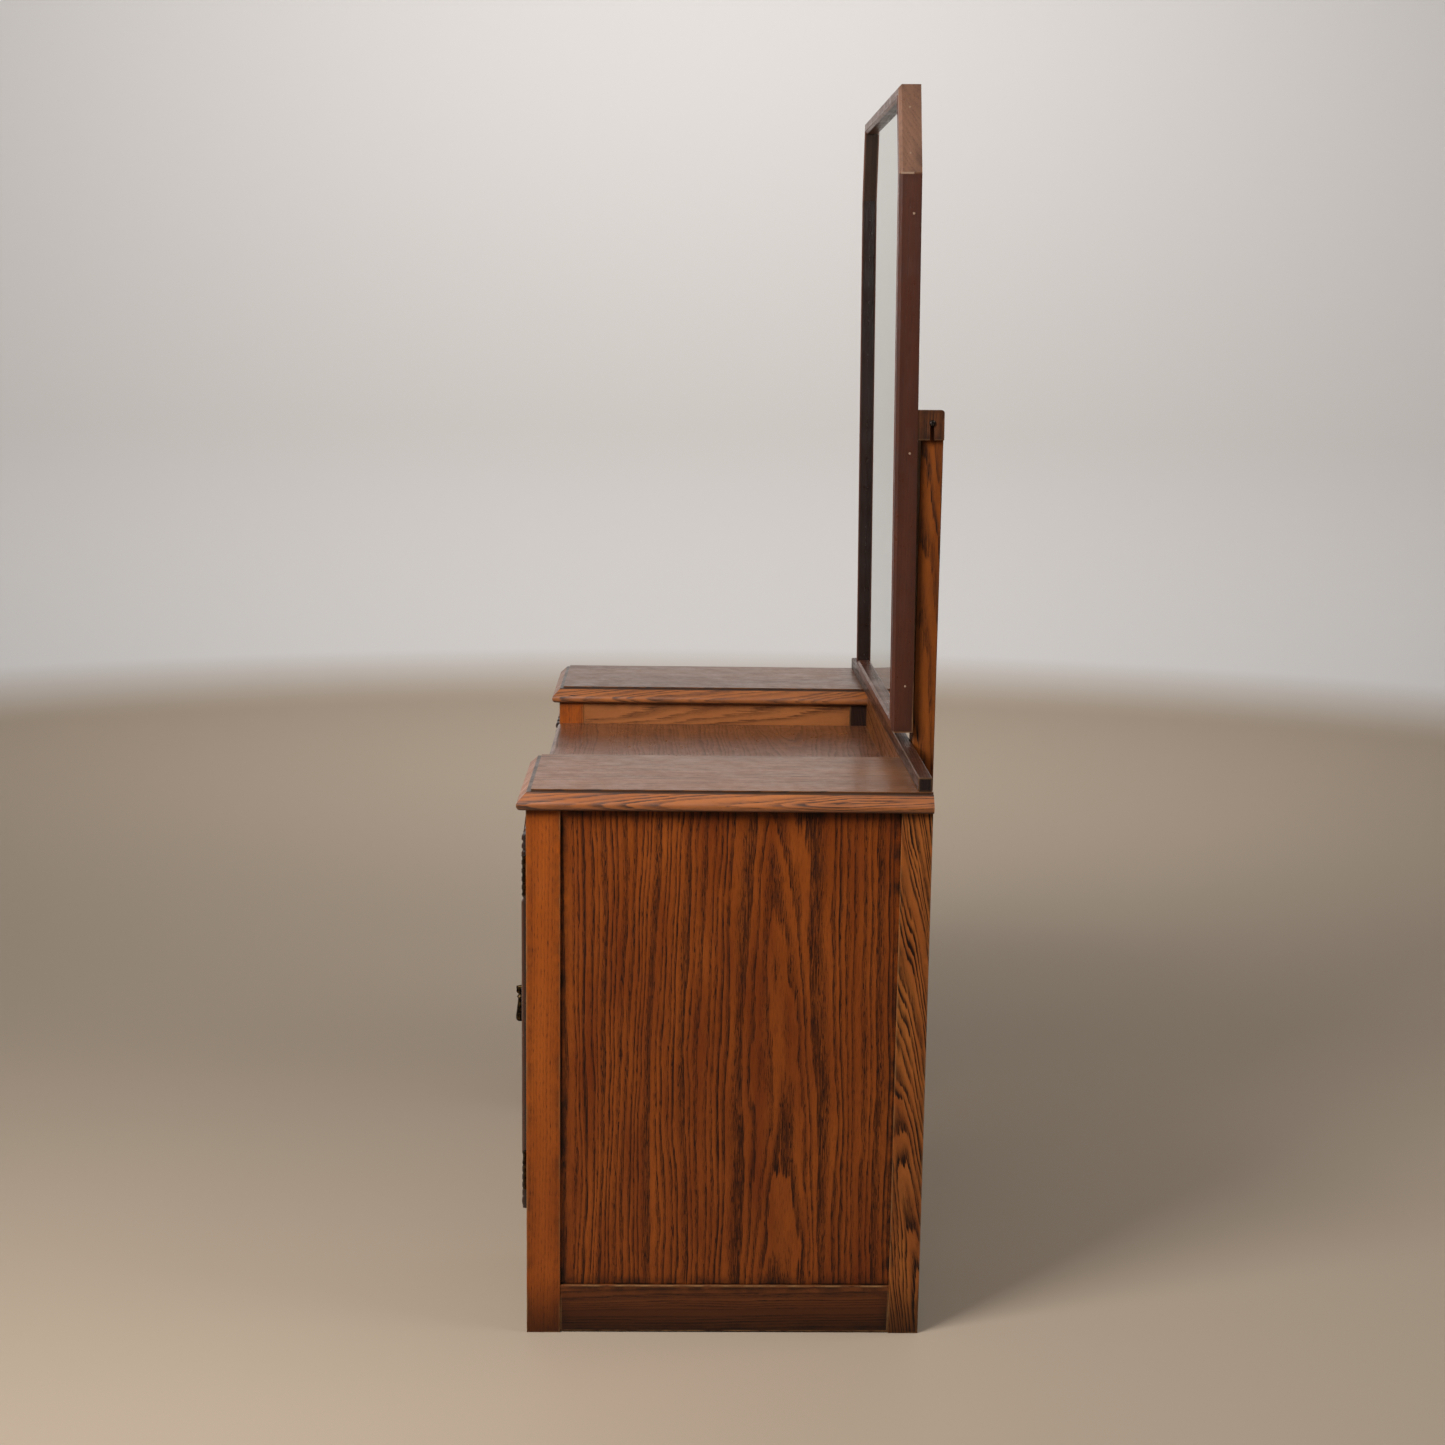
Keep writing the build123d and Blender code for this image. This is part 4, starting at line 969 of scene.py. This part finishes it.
edge_near = add_node(silver_tree, "ShaderNodeMath", {0: edge_axes["X"], 1: edge_axes["Z"]},
                     operation="MINIMUM")
edge_share = add_node(silver_tree, "ShaderNodeMapRange", {"Value": edge_near, "From Min": 0.009,
                                                          "From Max": 0.034, "To Min": 0.16, "To Max": 0.0})
speck_edge = add_node(silver_tree, "ShaderNodeMath", {0: specks, 1: edge_share}, operation="ADD")
speck = add_node(silver_tree, "ShaderNodeMapRange", {"Value": speck_edge, "From Min": 0.71,
                                                     "From Max": 0.80})
silver_colour = add_node(silver_tree, "ShaderNodeMix", {0: speck, 6: linear("#bfc5bf"), 7: linear("#8b8880")},
                         data_type="RGBA").outputs[2]
silver_tree.links.new(silver_colour, silver.inputs["Base Color"])
speck_rough = add_node(silver_tree, "ShaderNodeMapRange", {"Value": speck, "To Min": 0.012, "To Max": 0.4})
silver_tree.links.new(speck_rough.outputs[0], silver.inputs["Roughness"])
silver.inputs["Metallic"].default_value = 1.0
finish_with("mirror_glass", silvered)
finish_with("mirror_backboard", oak("birch_ply_mirror_backboard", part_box("mirror_backboard"), Z, Y, "#7a5738",
                                    "#8d6a47", "#5c4029", ring=10.0, heart=(40, 130), climb=0.07, wander=40,
                                    seed=121, strength=0.4, rough=0.66, grime=0.5, wear=0.0, coat=0.0))
tacks = []
BACK_REAR = MIRROR_FRONT + 0.019
for index, (start_x, start_z) in enumerate(mirror_outline(FACE - 0.0015)):
    end_x, end_z = mirror_outline(FACE - 0.0015)[(index + 1) % 6]
    count = max(1, round(math.hypot(end_x - start_x, end_z - start_z) / 0.13))
    for step in range(count):
        share = (step + 0.5) / count
        tack_x = start_x + (end_x - start_x) * share
        spot = leaned_point(tack_x, BACK_REAR, start_z + (end_z - start_z) * share)
        tacks.append(turned(nail_head, spot, (0, 1, 0), 10))
piece("mirror_back_tacks", together(tacks), wire_nail, "mirror")


# ---------------------------------------------------------------- floor, light and camera
# A pale round studio floor that sweeps up into a low wall all round, open above. One soft lamp hangs
# close over the front, one at the back, a weak one by the camera, and one washes the far wall.
def studio_floor():
    """The sweep: flat to 4.4 m, a quarter round of 0.9 m, then a wall."""
    profile = [(0.0, 0.0), (2.2, 0.0), (4.4, 0.0)]
    for step in range(1, 13):
        angle = math.pi / 2 * step / 12
        profile.append((4.4 + 0.9 * math.sin(angle), 0.9 - 0.9 * math.cos(angle)))
    profile.append((5.3, 3.4))
    steps = 96
    points = [Vector((0, 0, 0))]
    faces = []
    for radius_here, height in profile[1:]:
        for step in range(steps):
            angle = 2 * math.pi * step / steps
            points.append(Vector((radius_here * math.cos(angle), radius_here * math.sin(angle), height)))
    for step in range(steps):
        faces.append((0, 1 + step, 1 + (step + 1) % steps))
    for ring_index in range(len(profile) - 2):
        for step in range(steps):
            after = (step + 1) % steps
            faces.append((1 + ring_index * steps + step, 1 + (ring_index + 1) * steps + step,
                          1 + (ring_index + 1) * steps + after, 1 + ring_index * steps + after))
    return points, faces


floor_paint = bpy.data.materials.new("matt_pale_floor")
floor_paint.use_nodes = True
floor_shader = floor_paint.node_tree.nodes["Principled BSDF"]
# The wall is painted greyer on the camera's side, so that it throws no veil on the polish.
floor_tree = floor_paint.node_tree
floor_place = add_node(floor_tree, "ShaderNodeTexCoord").outputs["Object"]
floor_axes = add_node(floor_tree, "ShaderNodeSeparateXYZ", {0: floor_place}).outputs
toward_camera = add_node(floor_tree, "ShaderNodeMapRange", {"Value": floor_axes["X"], "From Min": 1.6,
                                                            "From Max": 4.4})
wall_grey = add_node(floor_tree, "ShaderNodeMix", {0: toward_camera, 6: linear("#d2cecb"),
                                                   7: linear("#7d7874")}, data_type="RGBA")
up_wall = add_node(floor_tree, "ShaderNodeMapRange", {"Value": floor_axes["Z"], "From Min": 0.0,
                                                      "From Max": 0.12})
floor_mix = add_node(floor_tree, "ShaderNodeMix", {0: up_wall, 6: linear("#a5937f"),
                                                   7: wall_grey.outputs[2]}, data_type="RGBA")
floor_tree.links.new(floor_mix.outputs[2], floor_shader.inputs["Base Color"])
floor_shader.inputs["Roughness"].default_value = 0.7
floor_mesh = bpy.data.meshes.new("studio_floor")
floor_points, floor_faces = studio_floor()
floor_mesh.from_pydata(floor_points, [], floor_faces)
floor_mesh.shade_smooth()
floor_mesh.materials.append(floor_paint)
floor = bpy.data.objects.new("studio_floor", floor_mesh)
bpy.context.scene.collection.objects.link(floor)

world = bpy.data.worlds.new("soft_daylight")
world.use_nodes = True
world.node_tree.nodes["Background"].inputs["Color"].default_value = linear("#e9eef2")
world.node_tree.nodes["Background"].inputs["Strength"].default_value = 0.30
bpy.context.scene.world = world
bpy.context.scene.view_settings.view_transform = "Standard"

lamps = (("front_soft_box", (1.4, -1.2, 1.85), 0.9, 62.0, (0, 0, 0.85)),
         ("back_soft_box", (0.6, 2.6, 3.0), 2.0, 44.0, (0, 0, 0.75)),
         ("camera_fill", (3.6, 0.9, 2.4), 1.8, 3.0, (0, 0, 0.75)),
         ("wall_wash", (-2.6, 0.0, 3.0), 2.2, 76.0, (-5.3, 0, 1.3)))
for name, spot, size, power, aim in lamps:
    data = bpy.data.lights.new(name, "AREA")
    data.shape = "SQUARE"
    data.size = size
    data.energy = power
    lamp = bpy.data.objects.new(name, data)
    lamp.location = spot
    lamp.rotation_euler = (Vector(aim) - Vector(spot)).to_track_quat("-Z", "Y").to_euler()
    lamp.visible_camera = False
    bpy.context.scene.collection.objects.link(lamp)

# The camera stands level with the right-hand end, a little above the tops, and looks down on them.
turn, down, roll = math.radians(-1.393), math.radians(9.931), math.radians(0.781)
forward = Vector((-math.cos(turn), -math.sin(turn), 0))
right = Vector((-math.sin(turn), math.cos(turn), 0))
look = forward * math.cos(down) - Vector((0, 0, 1)) * math.sin(down)
above = Vector((0, 0, 1)) * math.cos(down) + forward * math.sin(down)
rolled_right = right * math.cos(roll) + above * math.sin(roll)
rolled_above = above * math.cos(roll) - right * math.sin(roll)
camera_data = bpy.data.cameras.new("camera")
camera_data.lens = 54.36
camera_data.sensor_width = 36.0
camera = bpy.data.objects.new("camera", camera_data)
camera.matrix_world = Matrix.Translation((3.104, -0.0745, 1.238)) @ Matrix(
    (rolled_right, rolled_above, -look)).transposed().to_4x4()
bpy.context.scene.collection.objects.link(camera)
bpy.context.scene.camera = camera
